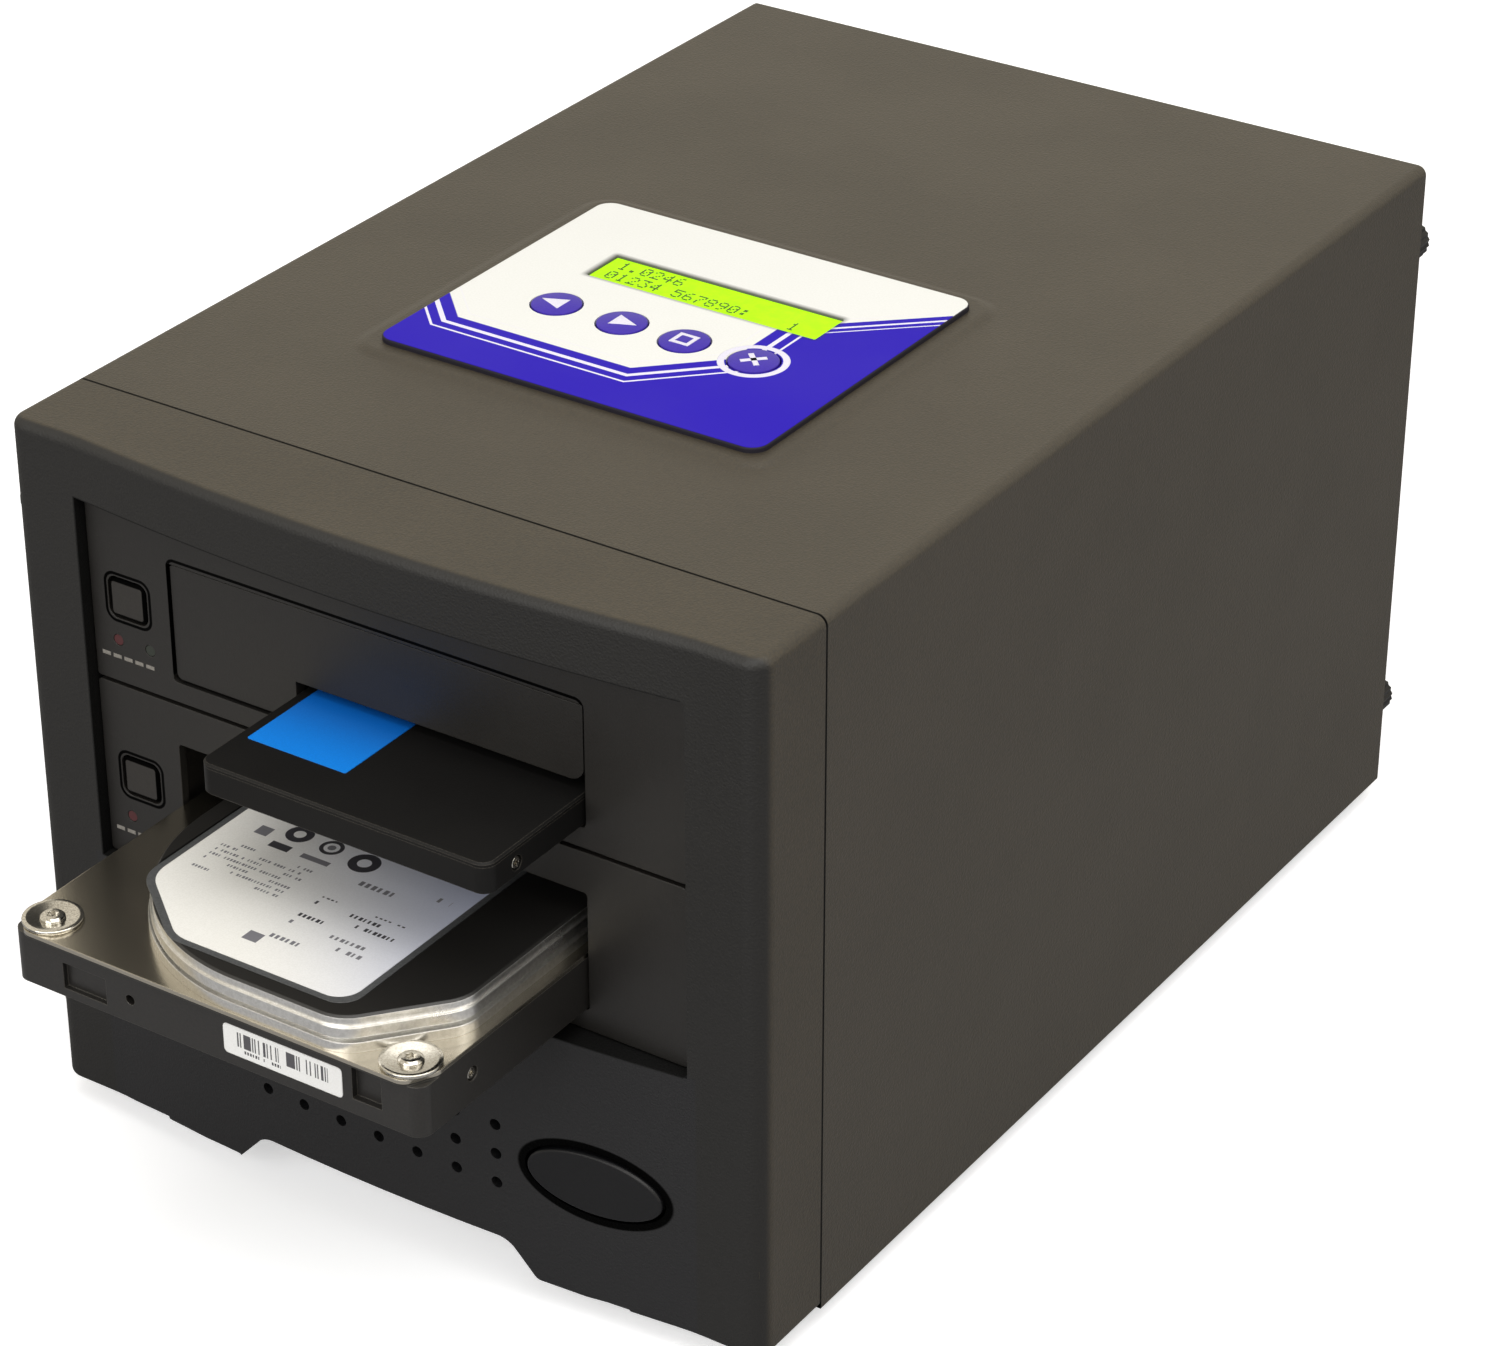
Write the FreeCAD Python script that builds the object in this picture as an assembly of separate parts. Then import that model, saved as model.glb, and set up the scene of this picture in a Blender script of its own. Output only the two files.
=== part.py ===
import FreeCAD, Part
import math
import os

# Desktop drive duplicator: a steel case with a moulded front bezel, two drive racks in 5.25 inch bays, a
# control panel on the top cover, a small power supply and a rear fan. Millimetres, +Z up, front towards -Y.
# The origin is on the surface that the feet stand on, under the middle of the case.

Vector = FreeCAD.Vector

# ---- Case ---------------------------------------------------------------------------------------------
CASE_WIDTH = 183.0
CASE_HEIGHT = 161.0           # without the feet
CASE_LENGTH = 272.0           # front of the bezel's pillars to the rear edge of the cover
FOOT_HEIGHT = 5.0
SHEET = 1.0                   # steel sheet of the chassis and the cover
COVER_CORNER_R = 2.2          # outer bend of the cover
COVER_GAP = 0.3               # between the chassis and the inside of the cover
FLANGE = 12.0                 # upturned edges of the chassis floor
REAR_TAB = 9.0                # width of the cover's rear tabs
REAR_TAB_END = 6.0            # tabs stop this far short of the cover's ends

# ---- Front bezel --------------------------------------------------------------------------------------
BEZEL_DEPTH = 22.0
BEZEL_WALL = 2.5
BEZEL_LIFT = 0.5              # the bezel's lower edge stands this much above the chassis floor
PILLAR_CORNER_R = 4.5         # vertical corner between the front and the side
PILLAR_INNER_R = 1.0
BEZEL_EDGE_R = 2.2            # upper edges, the same as the cover's bend
BEZEL_FOOT_R = 1.5            # lower edges
BOW = 4.5                     # how far the middle of the front bulges
BOW_WIDTH = 149.0
BOW_EASE_R = 60.0             # soft hollow where the bulge meets the flat pillars
ARCH_WIDTH = 82.0             # opening under the lower panel
ARCH_HEIGHT = 8.5
ARCH_SLOPE = 9.0
ARCH_R = 6.0
RIM_WALL = 2.0                # frame round the bays
RIM_DEPTH = 9.0
HOOK_WIDTH = 6.0
HOOK_THICK = 2.0
HOOK_REACH = 4.0
HOOK_BARB = 1.0
HOOK_INSET = 10.5             # from the side of the case
HOOK_ENDS = 20.0              # from the lower and upper edge of the case
VENT_COLUMNS = 7
VENT_ROWS = 3
VENT_PITCH_X = 9.9
VENT_PITCH_Z = 7.15
VENT_R = 1.3
VENT_HEIGHT = 34.6            # middle row above the table

# ---- Drive bays and racks -----------------------------------------------------------------------------
BAY_WIDTH = 148.6
BAY_PITCH = 42.3
BAY_FLOOR = 68.0              # lower edge of the bays above the table
RACK_COUNT = 2
RACK_SHIFT = -0.6             # the racks sit this far off the middle of the bays
RACK_RECESS = 2.5             # rack face behind the pillars
RACK_FACE_WIDTH = 146.6
RACK_FACE_HEIGHT = 41.3
RACK_FACE_THICK = 2.0
RACK_EDGE_R = 0.8
RACK_WIDTH = 145.8
RACK_HEIGHT = 40.6
RACK_WALL = 1.2
RACK_SHELF = 2.6              # thick floor that carries the drive
PARTITION = 1.5
DRIVE_WIDTH = 101.6           # 3.5 inch drive
DRIVE_LENGTH = 147.0
DRIVE_HEIGHT = 20.2
DRIVE_PLAY = 0.5              # each side of the drive in the opening
SLOT_CENTRE = -2.0            # middle of the drive opening
SLOT_FLOOR = 4.6              # above the lower edge of the rack face
SLOT_HEIGHT = 27.4
SLOT_R = 0.8
DRIVE_LIFT = 0.4              # a drive rides this far above the opening's floor
CHANNEL_PLAY = 1.3            # extra room beside the door as it swings
GUIDE_DEPTH = 1.1             # side rails that narrow the channel behind the door
GUIDE_HEIGHT = 6.0
GUIDE_START = 36.0            # behind the rack face
GUIDE_END_GAP = 4.0
RUNNER_WIDTH = 6.0            # floor rails under the drive
RUNNER_INSET = 8.0
RUNNER_START = 13.0
HOME_DEPTH = 92.5             # rack face to the rear of a drive that is fully in
SOCKET_DEPTH = 6.5            # rear of a drive to the backplane board
BOARD = 1.6
BOARD_MARGIN = 3.0
PLANE_DROP = 1.2              # backplane board below the opening's floor
DATA_PLUG_XS = (-34.0, -20.0) # lead connectors on the rear of the backplane
DATA_PLUG_LENGTH = 7.0
DATA_PLUG_RISES = (6.0, 12.0)
POWER_PLUG_XS = (-2.0, 19.0)
POWER_PLUG_LENGTH = 9.0
POWER_PLUG_RISES = (5.0, 13.0)

# ---- Rack door ----------------------------------------------------------------------------------------
DOOR_GAP = 0.5                # round the door panel in the opening
DOOR_FLOOR_GAP = 0.6          # below the door, where its edge swings past the opening
DOOR_RECESS = 0.5             # door panel behind the rack face
DOOR_PANEL = 1.6
DOOR_BACK = 1.2
DOOR_CORNER_R = 3.5           # corner over the 2.5 inch notch
NOTCH_EDGE = -21.6            # left edge of the 2.5 inch notch
NOTCH_HEIGHT = 9.8            # above the opening's floor
HINGE_DEPTH = 4.2             # hinge axis behind the rack face
HINGE_RISE = 2.2              # hinge axis above the opening
PIN_R = 0.8
PIN_PLAY = 0.08               # running fit of the door on its pin
BARREL_R = 1.8
BARREL_END_GAP = 0.4
SPRING_START = -19.0
SPRING_LENGTH = 12.0
SPRING_R = 1.5
SPRING_WIRE_R = 0.3
SPRING_TURNS = 9
SPRING_LEG = 14.0
REST_GAP = 0.3                # door to the drive that holds it up

# ---- Rack button and lamps ----------------------------------------------------------------------------
RACK_KEY_X = -64.2
RACK_KEY_RISE = 19.9
RACK_KEY_WIDTH = 10.3         # opening for the key
RACK_KEY_HEIGHT = 9.7
RACK_KEY_R = 2.2
RACK_KEY_GAP = 0.5
RACK_KEY_TRAVEL = 1.2
RACK_KEY_SKIRT = 0.9          # flange that keeps the key behind the face
RACK_KEY_DEPTH = 4.4
LAMP_R = 1.2
LAMP_GAP = 0.1
LAMP_RISE = 9.8
LAMP_XS = (-67.6, -59.2)
LAMP_BOARD_DEPTH = 10.0
LAMP_BOARD_RISE = 1.0         # above the floor of its chamber
LAMP_BOARD_HEIGHT = 30.0
TACT = 6.0                    # body of a tact switch
TACT_HEIGHT = 3.5
TACT_PLUNGER_R = 1.7

# ---- Drive connectors (both drive sizes put them on the same line) ------------------------------------
PLUG_CENTRE = 18.7
PLUG_WIDTH = 42.0
PLUG_HEIGHT = 5.8
PLUG_DEPTH = 5.0
PLUG_FLOOR = 0.7              # above the drive's lower face
PLUG_WALL = 0.8
PLUG_FIT = 0.1                # between the plug and the pocket in its drive
TONGUE = 1.2
TONGUE_SPLIT = 4.0            # gap between the signal tongue and the power tongue
TONGUE_SIGNAL = 11.0
SOCKET_PLAY = 0.35

# ---- 3.5 inch drive -----------------------------------------------------------------------------------
BASE_HEIGHT = 12.8            # casting up to the corner ears
EAR_PLATE = 1.3
BASE_SETBACK = 0.9            # front face behind the edge of the plate
BASE_CORNER_R = 3.0
EAR_R = 6.5
SPINDLE_X = 40.5              # left edge of the cover, left of the case's middle
COVER_RIGHT = 46.3
COVER_CURVE_R = 44.0
COVER_FRONT = 0.5             # from the front edge of the drive
COVER_CHAMFER_X = 16.0
COVER_CHAMFER_Y = 19.0
COVER_REAR = 5.0
COVER_REAR_R = 6.0
COVER_CUT_R = 9.0
COVER_BEVEL = 0.45
STEP_HEIGHT = 2.2
GROOVE_HEIGHT = 0.7
GROOVE_DEPTH = 1.3
STEP_INSET = 0.5
LABEL_RECESS = 0.3
LABEL_THICK = 0.15
LABEL_RING = 1.8
LABEL_LEFT = 19.8             # from the drive's sides and ends
LABEL_RIGHT = 22.0
LABEL_FRONT = 6.9
LABEL_REAR = 34.0
LABEL_CUT_X = 18.0            # cut left corner
LABEL_CUT_Y = 14.5
LABEL_CUT_R = 8.0
LABEL_FRONT_R = 5.0
LABEL_REAR_R = 3.0
DRIVE_SCREW_INSET = 6.3
DRIVE_SCREW_R = 2.6
DRIVE_SCREW_HEAD = 1.3
DRIVE_SCREW_ROUND = 0.7
SET_SCREW_SINK = 0.3          # below the drive's side
SIDE_HOLE_R = 1.6
SIDE_HOLE_DEPTH = 4.0
DRIVE_HOLE_RISE = 6.35
DRIVE_HOLE_YS = (16.9, 118.5)
HDD_BOARD_SIDE = 6.0          # recess for the board, from the drive's sides and ends
HDD_BOARD_FRONT = 14.0
HDD_BOARD_REAR = 12.0
HDD_BOARD_PLAY = 0.3
BAR_LABEL_X = 53.8            # from the drive's left side
BAR_LABEL_WIDTH = 29.0
BAR_LABEL_HEIGHT = 6.8
BAR_LABEL_RISE = 2.6

# ---- 2.5 inch drive -----------------------------------------------------------------------------------
SSD_WIDTH = 69.85
SSD_LENGTH = 100.0
SSD_HEIGHT = 7.0
SSD_CORNER_R = 3.0
SSD_LID = 1.0
SSD_BEVEL = 0.4
SSD_OUT = 23.5                # how far short of home it stands
SSD_HOLE_RISE = 3.0
SSD_HOLE_YS = (9.4, 86.0)
SSD_SCREW_SINK = 0.2
STICKER_WIDTH = 24.5
STICKER_LENGTH = 31.0
STICKER_INSET = 2.6
STICKER_SETBACK = 12.0
STICKER_THICK = 0.1
STICKER_R = 0.6
SMALL_SCREW_DEPTH = 2.0

# ---- Power button -------------------------------------------------------------------------------------
POWER_X = 53.0
POWER_Z = 35.2
POWER_HALF_X = 16.3           # opening, half axes of the oval
POWER_HALF_Z = 7.9
POWER_GAP = 0.7
POWER_PROUD = 0.6
POWER_COLLAR = 1.6
POWER_COLLAR_DEPTH = 7.0
POWER_FLANGE = 1.2
POWER_TRAVEL = 2.2
POWER_STEM_R = 2.5
POWER_STEM_FIT = 0.08
SWITCH_SIZE = 12.0
SWITCH_DEPTH = 10.5
SWITCH_BORE = 7.5

# ---- Control panel ------------------------------------------------------------------------------------
PANEL_X = -2.0
PANEL_Y = -26.5
PANEL_WIDTH = 95.5
PANEL_LENGTH = 83.5
PANEL_THICK = 1.2
PANEL_CORNER_R = 4.0
PAD_MARGIN = 5.5              # stamped platform round the panel
PAD_HEIGHT = 0.8
PAD_SLOPE = 3.0
PAD_R = 8.0
PAD_LAYERS = 4
PANEL_HOLE_MARGIN = 9.0       # sheet left under the panel's edge
LCD_X = -1.5
LCD_Y = -13.5
LCD_WIDTH = 58.0
LCD_LENGTH = 11.5
LCD_FRAME = 4.0
LCD_FRAME_THICK = 5.0
KEY_XS = (-27.2, -10.4, 5.4, 22.6)
KEY_Y = -34.8
KEY_R = 5.4
KEY_GAP = 0.4
KEY_PROUD = 0.5
KEY_CROWN = 0.35
KEY_SKIRT = 1.0
KEY_SKIRT_THICK = 0.8
KEY_TRAVEL = 0.6
KEY_STEM_R = 2.0
PANEL_SEAT = 0.3              # parts under the panel stop this far below it
PANEL_BOARD_DROP = 6.4        # board below the underside of the panel
POST_R = 2.4
POST_INSET = 5.0

# ---- Cage, boards and fasteners -----------------------------------------------------------------------
CAGE_GAP = 0.3
CAGE_REAR = 8.0               # cage plates end this far in front of the backplane
CAGE_FOOT = 9.0
CAGE_WINDOW = 26.0
SCREW_R = 1.5
SCREW_FIT = 0.05
SCREW_HEAD_R = 2.8
SCREW_HEAD = 1.8
SCREW_LENGTH = 5.0
RACK_SCREW_YS = (24.0, 76.0)  # behind the rack face
RACK_SCREW_RISE = 11.0
THUMB_R = 5.0
THUMB_LENGTH = 6.0
THUMB_SHANK_R = 1.9
THUMB_TEETH = 20
THUMB_RISES = (20.0, 140.0)   # above the chassis floor
THUMB_REACH = 5.0
FOOT_R = 8.0
FOOT_TAPER = 1.0
FOOT_X = 69.0
FOOT_SETBACK_FRONT = 41.0
FOOT_SETBACK_REAR = 21.0
FOOT_DIMPLE = 1.5
CONTROLLER_WIDTH = 138.0
CONTROLLER_LENGTH = 86.0
CONTROLLER_FRONT = 6.0        # behind the chassis front wall
STANDOFF = 8.0
STANDOFF_R = 3.0
STANDOFF_INSET = 6.0
HEATSINK = 36.0
HEATSINK_BASE = 2.0
HEATSINK_FINS = 9
HEATSINK_FIN = 1.2
HEATSINK_HEIGHT = 9.0
HEATSINK_X = 24.0
CHIP = 30.0
CHIP_HEIGHT = 2.0
PORT_COUNT = 3
PORT_PITCH = 22.0
PORT_WIDTH = 16.0
PORT_LENGTH = 8.0
PORT_HEIGHT = 7.0

# ---- Power supply -------------------------------------------------------------------------------------
PSU_WIDTH = 81.5
PSU_HEIGHT = 40.5
PSU_LENGTH = 150.0
PSU_SIDE = 9.0                # from the inside of the chassis
PSU_EDGE_R = 1.0
PSU_FRAME = 4.0               # rear wall left round the supply
PSU_SLOTS = 11                # air slots in its inner end
FAN40_R = 18.4                # blade tip
FAN40_X = 21.5                # from the supply's left side seen from the front
FAN40_DEPTH = 11.0
INLET_X = 59.5
INLET_Z = 14.3
INLET_WIDTH = 28.0
INLET_HEIGHT = 18.0
INLET_LIP = 1.4
INLET_LIP_WIDTH = 1.0
INLET_DEPTH = 20.0
INLET_WALL = 1.5
INLET_CAVITY = 15.5
INLET_CHAMFER = 4.0
INLET_FIT = 0.1
INLET_PIN_PITCH = 7.0
INLET_PIN_THICK = 2.0
INLET_PIN_HEIGHT = 4.0
INLET_PIN_RISE = 2.0
ROCKER_Z = 30.5
ROCKER_WIDTH = 15.0
ROCKER_HEIGHT = 8.0
ROCKER_FRAME = 2.0
ROCKER_DEPTH = 9.0
ROCKER_GAP = 0.4
ROCKER_TILT = 9.0             # degrees each side of the middle
ROCKER_AXIS_DEPTH = 3.0
ROCKER_PIN_R = 1.0

# ---- Fans ---------------------------------------------------------------------------------------------
FAN_SIZE = 80.0
FAN_DEPTH = 25.0
FAN_X = 42.0
FAN_Z = 112.0
FAN_BORE_R = 38.3
FAN_TIP_GAP = 0.9
FAN_HUB_R = 18.0
FAN_CORNER_R = 4.0
FAN_FLANGE = 3.5
FAN_HOLE_PITCH = 71.5
FAN_BLADES = 7
BLADE_THICK = 1.2
BLADE_TURN = 28.0             # degrees that the blade twists along the axle
BLADE_GAP = 0.6
FAN_CAP = 1.5                 # closed end of the hub over the axle
SPIDER_THICK = 3.0
SPIDER_ARM = 4.0
SPIDER_HUB_GAP = 0.4
AXLE_R = 1.5
AXLE_FIT = 0.06
GUARD_WIRE_R = 0.8
GUARD_RINGS = 4
GUARD_WELD = 0.5              # rings sink this far into the cross wires
GUARD_SCREW_REACH = 8.0       # past the rear wall

# ---- Places worked out from the sizes above -----------------------------------------------------------
SIDE_X = CASE_WIDTH / 2
Y_FRONT = -CASE_LENGTH / 2
Y_REAR = CASE_LENGTH / 2
Y_SEAM = Y_FRONT + BEZEL_DEPTH
Z_BASE = FOOT_HEIGHT
Z_TOP = FOOT_HEIGHT + CASE_HEIGHT
Z_FLOOR = Z_BASE + SHEET
WALL_X = SIDE_X - SHEET - COVER_GAP
WALL_TOP = Z_TOP - SHEET - COVER_GAP
Y_WALL = Y_SEAM + SHEET                       # inside of the chassis front wall
Y_BACK = Y_REAR - 2 * SHEET                   # inside of the chassis rear wall
Y_FACE = Y_FRONT + RACK_RECESS
Y_HOME = Y_FACE + HOME_DEPTH
Y_PLANE = Y_HOME + SOCKET_DEPTH               # front of the backplane boards
SLOT_LEFT = SLOT_CENTRE - DRIVE_WIDTH / 2 - DRIVE_PLAY
SLOT_RIGHT = SLOT_CENTRE + DRIVE_WIDTH / 2 + DRIVE_PLAY
CHANNEL_LEFT = SLOT_LEFT - CHANNEL_PLAY
CHANNEL_RIGHT = SLOT_RIGHT + CHANNEL_PLAY
RACK_LEFT = RACK_SHIFT - RACK_WIDTH / 2
RACK_RIGHT = RACK_SHIFT + RACK_WIDTH / 2
RACK_INSET_Z = (RACK_FACE_HEIGHT - RACK_HEIGHT) / 2
RACK_CEILING = RACK_INSET_Z + RACK_HEIGHT - RACK_WALL
HINGE_Y = Y_FACE + HINGE_DEPTH
HINGE_Z = SLOT_FLOOR + SLOT_HEIGHT + HINGE_RISE
PAD_TOP = Z_TOP + PAD_HEIGHT
PANEL_TOP = PAD_TOP + PANEL_THICK
PANEL_BOARD_TOP = PAD_TOP - PANEL_BOARD_DROP
BAY_MARGIN_Z = (BAY_PITCH - RACK_FACE_HEIGHT) / 2
PSU_LEFT = PSU_SIDE - WALL_X + SHEET
CUT = 1.0                                     # cutting tools run this far past a face


# ---- Building blocks ----------------------------------------------------------------------------------
def at(axis, u, v, w):
    """Point from profile coordinates: w runs along the axis, u and v across it."""
    if axis == "x":
        return Vector(w, u, v)
    if axis == "y":
        return Vector(u, w, v)
    return Vector(u, v, w)


def outline(axis, w, corners):
    """Closed wire across an axis through corners given as (u, v, corner radius)."""
    points = [Vector(u, v, 0) for u, v, radius in corners]
    bends = []
    for i, (u, v, radius) in enumerate(corners):
        back = (points[i - 1] - points[i]).normalize()
        ahead = (points[(i + 1) % len(points)] - points[i]).normalize()
        half = back.getAngle(ahead) / 2
        reach = radius / math.tan(half)
        inward = (back + ahead).normalize() * (radius / math.sin(half) - radius)
        bends.append((points[i] + back * reach, points[i] + inward, points[i] + ahead * reach))
    edges = []
    for i, bend in enumerate(bends):
        start, middle, end = (at(axis, p.x, p.y, w) for p in bend)
        follow = bends[(i + 1) % len(bends)][0]
        follow = at(axis, follow.x, follow.y, w)
        if corners[i][2] > 0:
            edges.append(Part.Arc(start, middle, end).toShape())
        if end.distanceToPoint(follow) > 1e-6:
            edges.append(Part.makeLine(end, follow))
    return Part.Wire(edges)


def prism(axis, low, high, corners):
    """Solid with the given outline, from low to high along the axis."""
    return Part.Face(outline(axis, low, corners)).extrude(at(axis, 0, 0, high - low))


def rect(u0, u1, v0, v1, radius=0.0):
    """Corners of a rectangle for outline and prism."""
    return [(u0, v0, radius), (u1, v0, radius), (u1, v1, radius), (u0, v1, radius)]


def block(x0, x1, y0, y1, z0, z1):
    """Plain box between two corners."""
    return Part.makeBox(x1 - x0, y1 - y0, z1 - z0, Vector(x0, y0, z0))


def rod(axis, u, v, low, high, radius):
    """Cylinder along an axis."""
    return Part.makeCylinder(radius, high - low, at(axis, u, v, low), at(axis, 0, 0, 1))


def tube(axis, u, v, low, high, outer, inner):
    """Hollow cylinder along an axis."""
    return rod(axis, u, v, low, high, outer).cut(rod(axis, u, v, low - CUT, high + CUT, inner))


def oval(x, z, half_x, half_z, y0, y1):
    """Elliptical cylinder along Y."""
    edge = Part.Ellipse(Vector(0, 0, 0), half_x, half_z).toShape()
    solid = Part.Face(Part.Wire([edge])).extrude(Vector(0, 0, y1 - y0))
    solid.rotate(Vector(0, 0, 0), Vector(1, 0, 0), 90)
    solid.translate(Vector(x, y1, z))
    return solid


def joined(shapes):
    """One solid from solids that touch or overlap."""
    return shapes[0].fuse(shapes[1:]).removeSplitter()


def group(shapes):
    """Separate solids kept in one node."""
    return Part.makeCompound(shapes)


def screw(axis, u, v, seat, direction, length):
    """Pan head screw: its head stands on the seat and its shank points along the direction."""
    head = rod(axis, u, v, min(seat, seat - direction * SCREW_HEAD),
               max(seat, seat - direction * SCREW_HEAD), SCREW_HEAD_R)
    shank = rod(axis, u, v, min(seat, seat + direction * length), max(seat, seat + direction * length), SCREW_R)
    return joined([head, shank])


# ---- Front bezel --------------------------------------------------------------------------------------
def bezel_plan(inset, rear, z0, z1):
    """Upright solid with the bezel's plan: flat pillars, bowed middle and round outer corners."""
    side = SIDE_X - inset
    front = Y_FRONT + inset
    radius = max(PILLAR_CORNER_R - inset, PILLAR_INNER_R)
    lean = radius * (1 - math.sqrt(0.5))
    bow_r = (BOW_WIDTH ** 2 / 4 + BOW ** 2) / (2 * BOW)
    centre = Vector(0, Y_FRONT - BOW + bow_r, z0)
    reach = math.sqrt(2 * BOW * (bow_r + BOW_EASE_R) - BOW ** 2)
    ease = Vector(reach, Y_FRONT - BOW_EASE_R, z0)
    toward = (centre - ease).normalize()
    inward = Vector(0, 1, 0)
    join = ease + toward * (BOW_EASE_R + inset)
    middle = ease + (toward + inward).normalize() * (BOW_EASE_R + inset)
    flat = ease + inward * (BOW_EASE_R + inset)
    right = [join, middle, flat, Vector(side - radius, front, z0), Vector(side - lean, front + lean, z0),
             Vector(side, front + radius, z0), Vector(side, rear, z0)]
    left = [Vector(-p.x, p.y, p.z) for p in right]
    edges = [Part.Arc(left[0], Vector(0, front - BOW, z0), right[0]).toShape()]
    for p in (right, left):
        edges += [Part.Arc(p[0], p[1], p[2]).toShape(), Part.makeLine(p[2], p[3]),
                  Part.Arc(p[3], p[4], p[5]).toShape(), Part.makeLine(p[5], p[6])]
    edges.append(Part.makeLine(right[6], left[6]))
    plan = Part.Wire(Part.__sortEdges__(edges))
    return Part.Face(plan).extrude(Vector(0, 0, z1 - z0))


def arch(grow):
    """Space under the lower panel, larger by grow on every side."""
    top = Z_BASE + BEZEL_LIFT + ARCH_HEIGHT + grow
    half = ARCH_WIDTH / 2 + grow
    low = Z_BASE - CUT
    return prism("y", Y_FRONT - BOW - CUT, Y_SEAM + CUT,
                 [(-half, low, 0), (half, low, 0), (half - ARCH_SLOPE, top, ARCH_R), (ARCH_SLOPE - half, top, ARCH_R)])


def bezel_shell():
    """Moulded skin with the bay frame, before the small openings are made."""
    z0 = Z_BASE + BEZEL_LIFT
    reach = (Y_FRONT - BOW - CUT, Y_SEAM + CUT)
    wall = BEZEL_WALL
    skin = bezel_plan(0, Y_SEAM, z0, Z_TOP)
    for level, radius in ((Z_TOP, BEZEL_EDGE_R), (z0, BEZEL_FOOT_R)):
        rim = [edge for edge in skin.Edges
               if abs(edge.CenterOfMass.z - level) < CUT / 2 and edge.BoundBox.YMin < Y_SEAM - CUT]
        skin = skin.makeFillet(radius, rim)
    hollow = bezel_plan(wall, Y_SEAM + CUT, z0 + wall, Z_TOP - wall).cut(arch(wall))
    bay_top = BAY_FLOOR + RACK_COUNT * BAY_PITCH
    half = BAY_WIDTH / 2
    frame = prism("y", Y_FRONT - BOW - CUT, Y_FRONT + RIM_DEPTH,
                  rect(-half - RIM_WALL, half + RIM_WALL, BAY_FLOOR - RIM_WALL, bay_top + RIM_WALL))
    bays = prism("y", *reach, rect(-half, half, BAY_FLOOR, bay_top))
    return skin.cut([hollow, arch(0)]).fuse(skin.common(frame)).cut(bays)


def hook_places():
    """Middle of each of the four snap hooks, as (side, z)."""
    return [(side, z) for side in (-1, 1) for z in (Z_BASE + HOOK_ENDS, Z_TOP - HOOK_ENDS)]


def bezel_hook(side, z):
    """Rib on the inside of a pillar that ends in a snap hook behind the chassis wall."""
    inner = SIDE_X - HOOK_INSET
    outer = SIDE_X - BEZEL_WALL / 2
    xs = sorted((side * inner, side * outer))
    rib = block(xs[0], xs[1], Y_FRONT + BEZEL_WALL / 2, Y_SEAM, z, z + HOOK_THICK)
    tip = sorted((side * inner, side * (inner + HOOK_WIDTH)))
    tongue = block(tip[0], tip[1], Y_SEAM - CUT, Y_SEAM + SHEET + HOOK_REACH, z, z + HOOK_THICK)
    barb_front = Y_SEAM + SHEET + COVER_GAP
    barb = prism("x", tip[0], tip[1], [(barb_front, z, 0), (barb_front + HOOK_REACH - COVER_GAP, z, 0),
                                       (barb_front, z - HOOK_BARB, 0)])
    return [rib, tongue, barb]


def vent_holes(y0, y1):
    """Cutting rods for the grid of round vents in the lower panel."""
    rods = []
    for column in range(VENT_COLUMNS):
        for row in range(VENT_ROWS):
            x = (column - (VENT_COLUMNS - 1) / 2) * VENT_PITCH_X
            z = VENT_HEIGHT + (row - (VENT_ROWS - 1) / 2) * VENT_PITCH_Z
            rods.append(rod("y", x, z, y0, y1, VENT_R))
    return rods


def front_bezel():
    """Whole bezel: skin, bay frame, power button collar, vents and snap hooks."""
    front = Y_FRONT - BOW - CUT
    collar_end = Y_FRONT + POWER_COLLAR_DEPTH
    collar = oval(POWER_X, POWER_Z, POWER_HALF_X + POWER_COLLAR, POWER_HALF_Z + POWER_COLLAR,
                  Y_FRONT, collar_end)
    hooks = []
    for side, z in hook_places():
        hooks += bezel_hook(side, z)
    shell = joined([bezel_shell(), collar] + hooks)
    opening = oval(POWER_X, POWER_Z, POWER_HALF_X, POWER_HALF_Z, front, collar_end + CUT)
    return shell.cut([opening] + vent_holes(front, Y_FRONT + BEZEL_WALL + CUT))


def power_button():
    """Oval cap that follows the bowed panel, with a rear flange and a stem."""
    flange_front = Y_FRONT + POWER_COLLAR_DEPTH + COVER_GAP
    half_x = POWER_HALF_X - POWER_GAP
    half_z = POWER_HALF_Z - POWER_GAP
    cap = oval(POWER_X, POWER_Z, half_x, half_z, Y_FRONT - BOW - CUT, flange_front + CUT)
    cap = cap.common(bezel_plan(-POWER_PROUD, Y_SEAM, Z_BASE, Z_TOP))
    rim = [edge for edge in cap.Edges if edge.BoundBox.YMax < Y_FRONT and edge.BoundBox.XLength > half_x]
    cap = cap.makeFillet(POWER_PROUD, rim)
    flange = oval(POWER_X, POWER_Z, POWER_HALF_X + POWER_GAP, POWER_HALF_Z + POWER_GAP,
                  flange_front, flange_front + POWER_FLANGE)
    stem_end = Y_SEAM - SWITCH_DEPTH + SWITCH_BORE - POWER_TRAVEL - COVER_GAP
    stem = rod("y", POWER_X, POWER_Z, flange_front, stem_end, POWER_STEM_R)
    return joined([cap, flange, stem])


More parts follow.
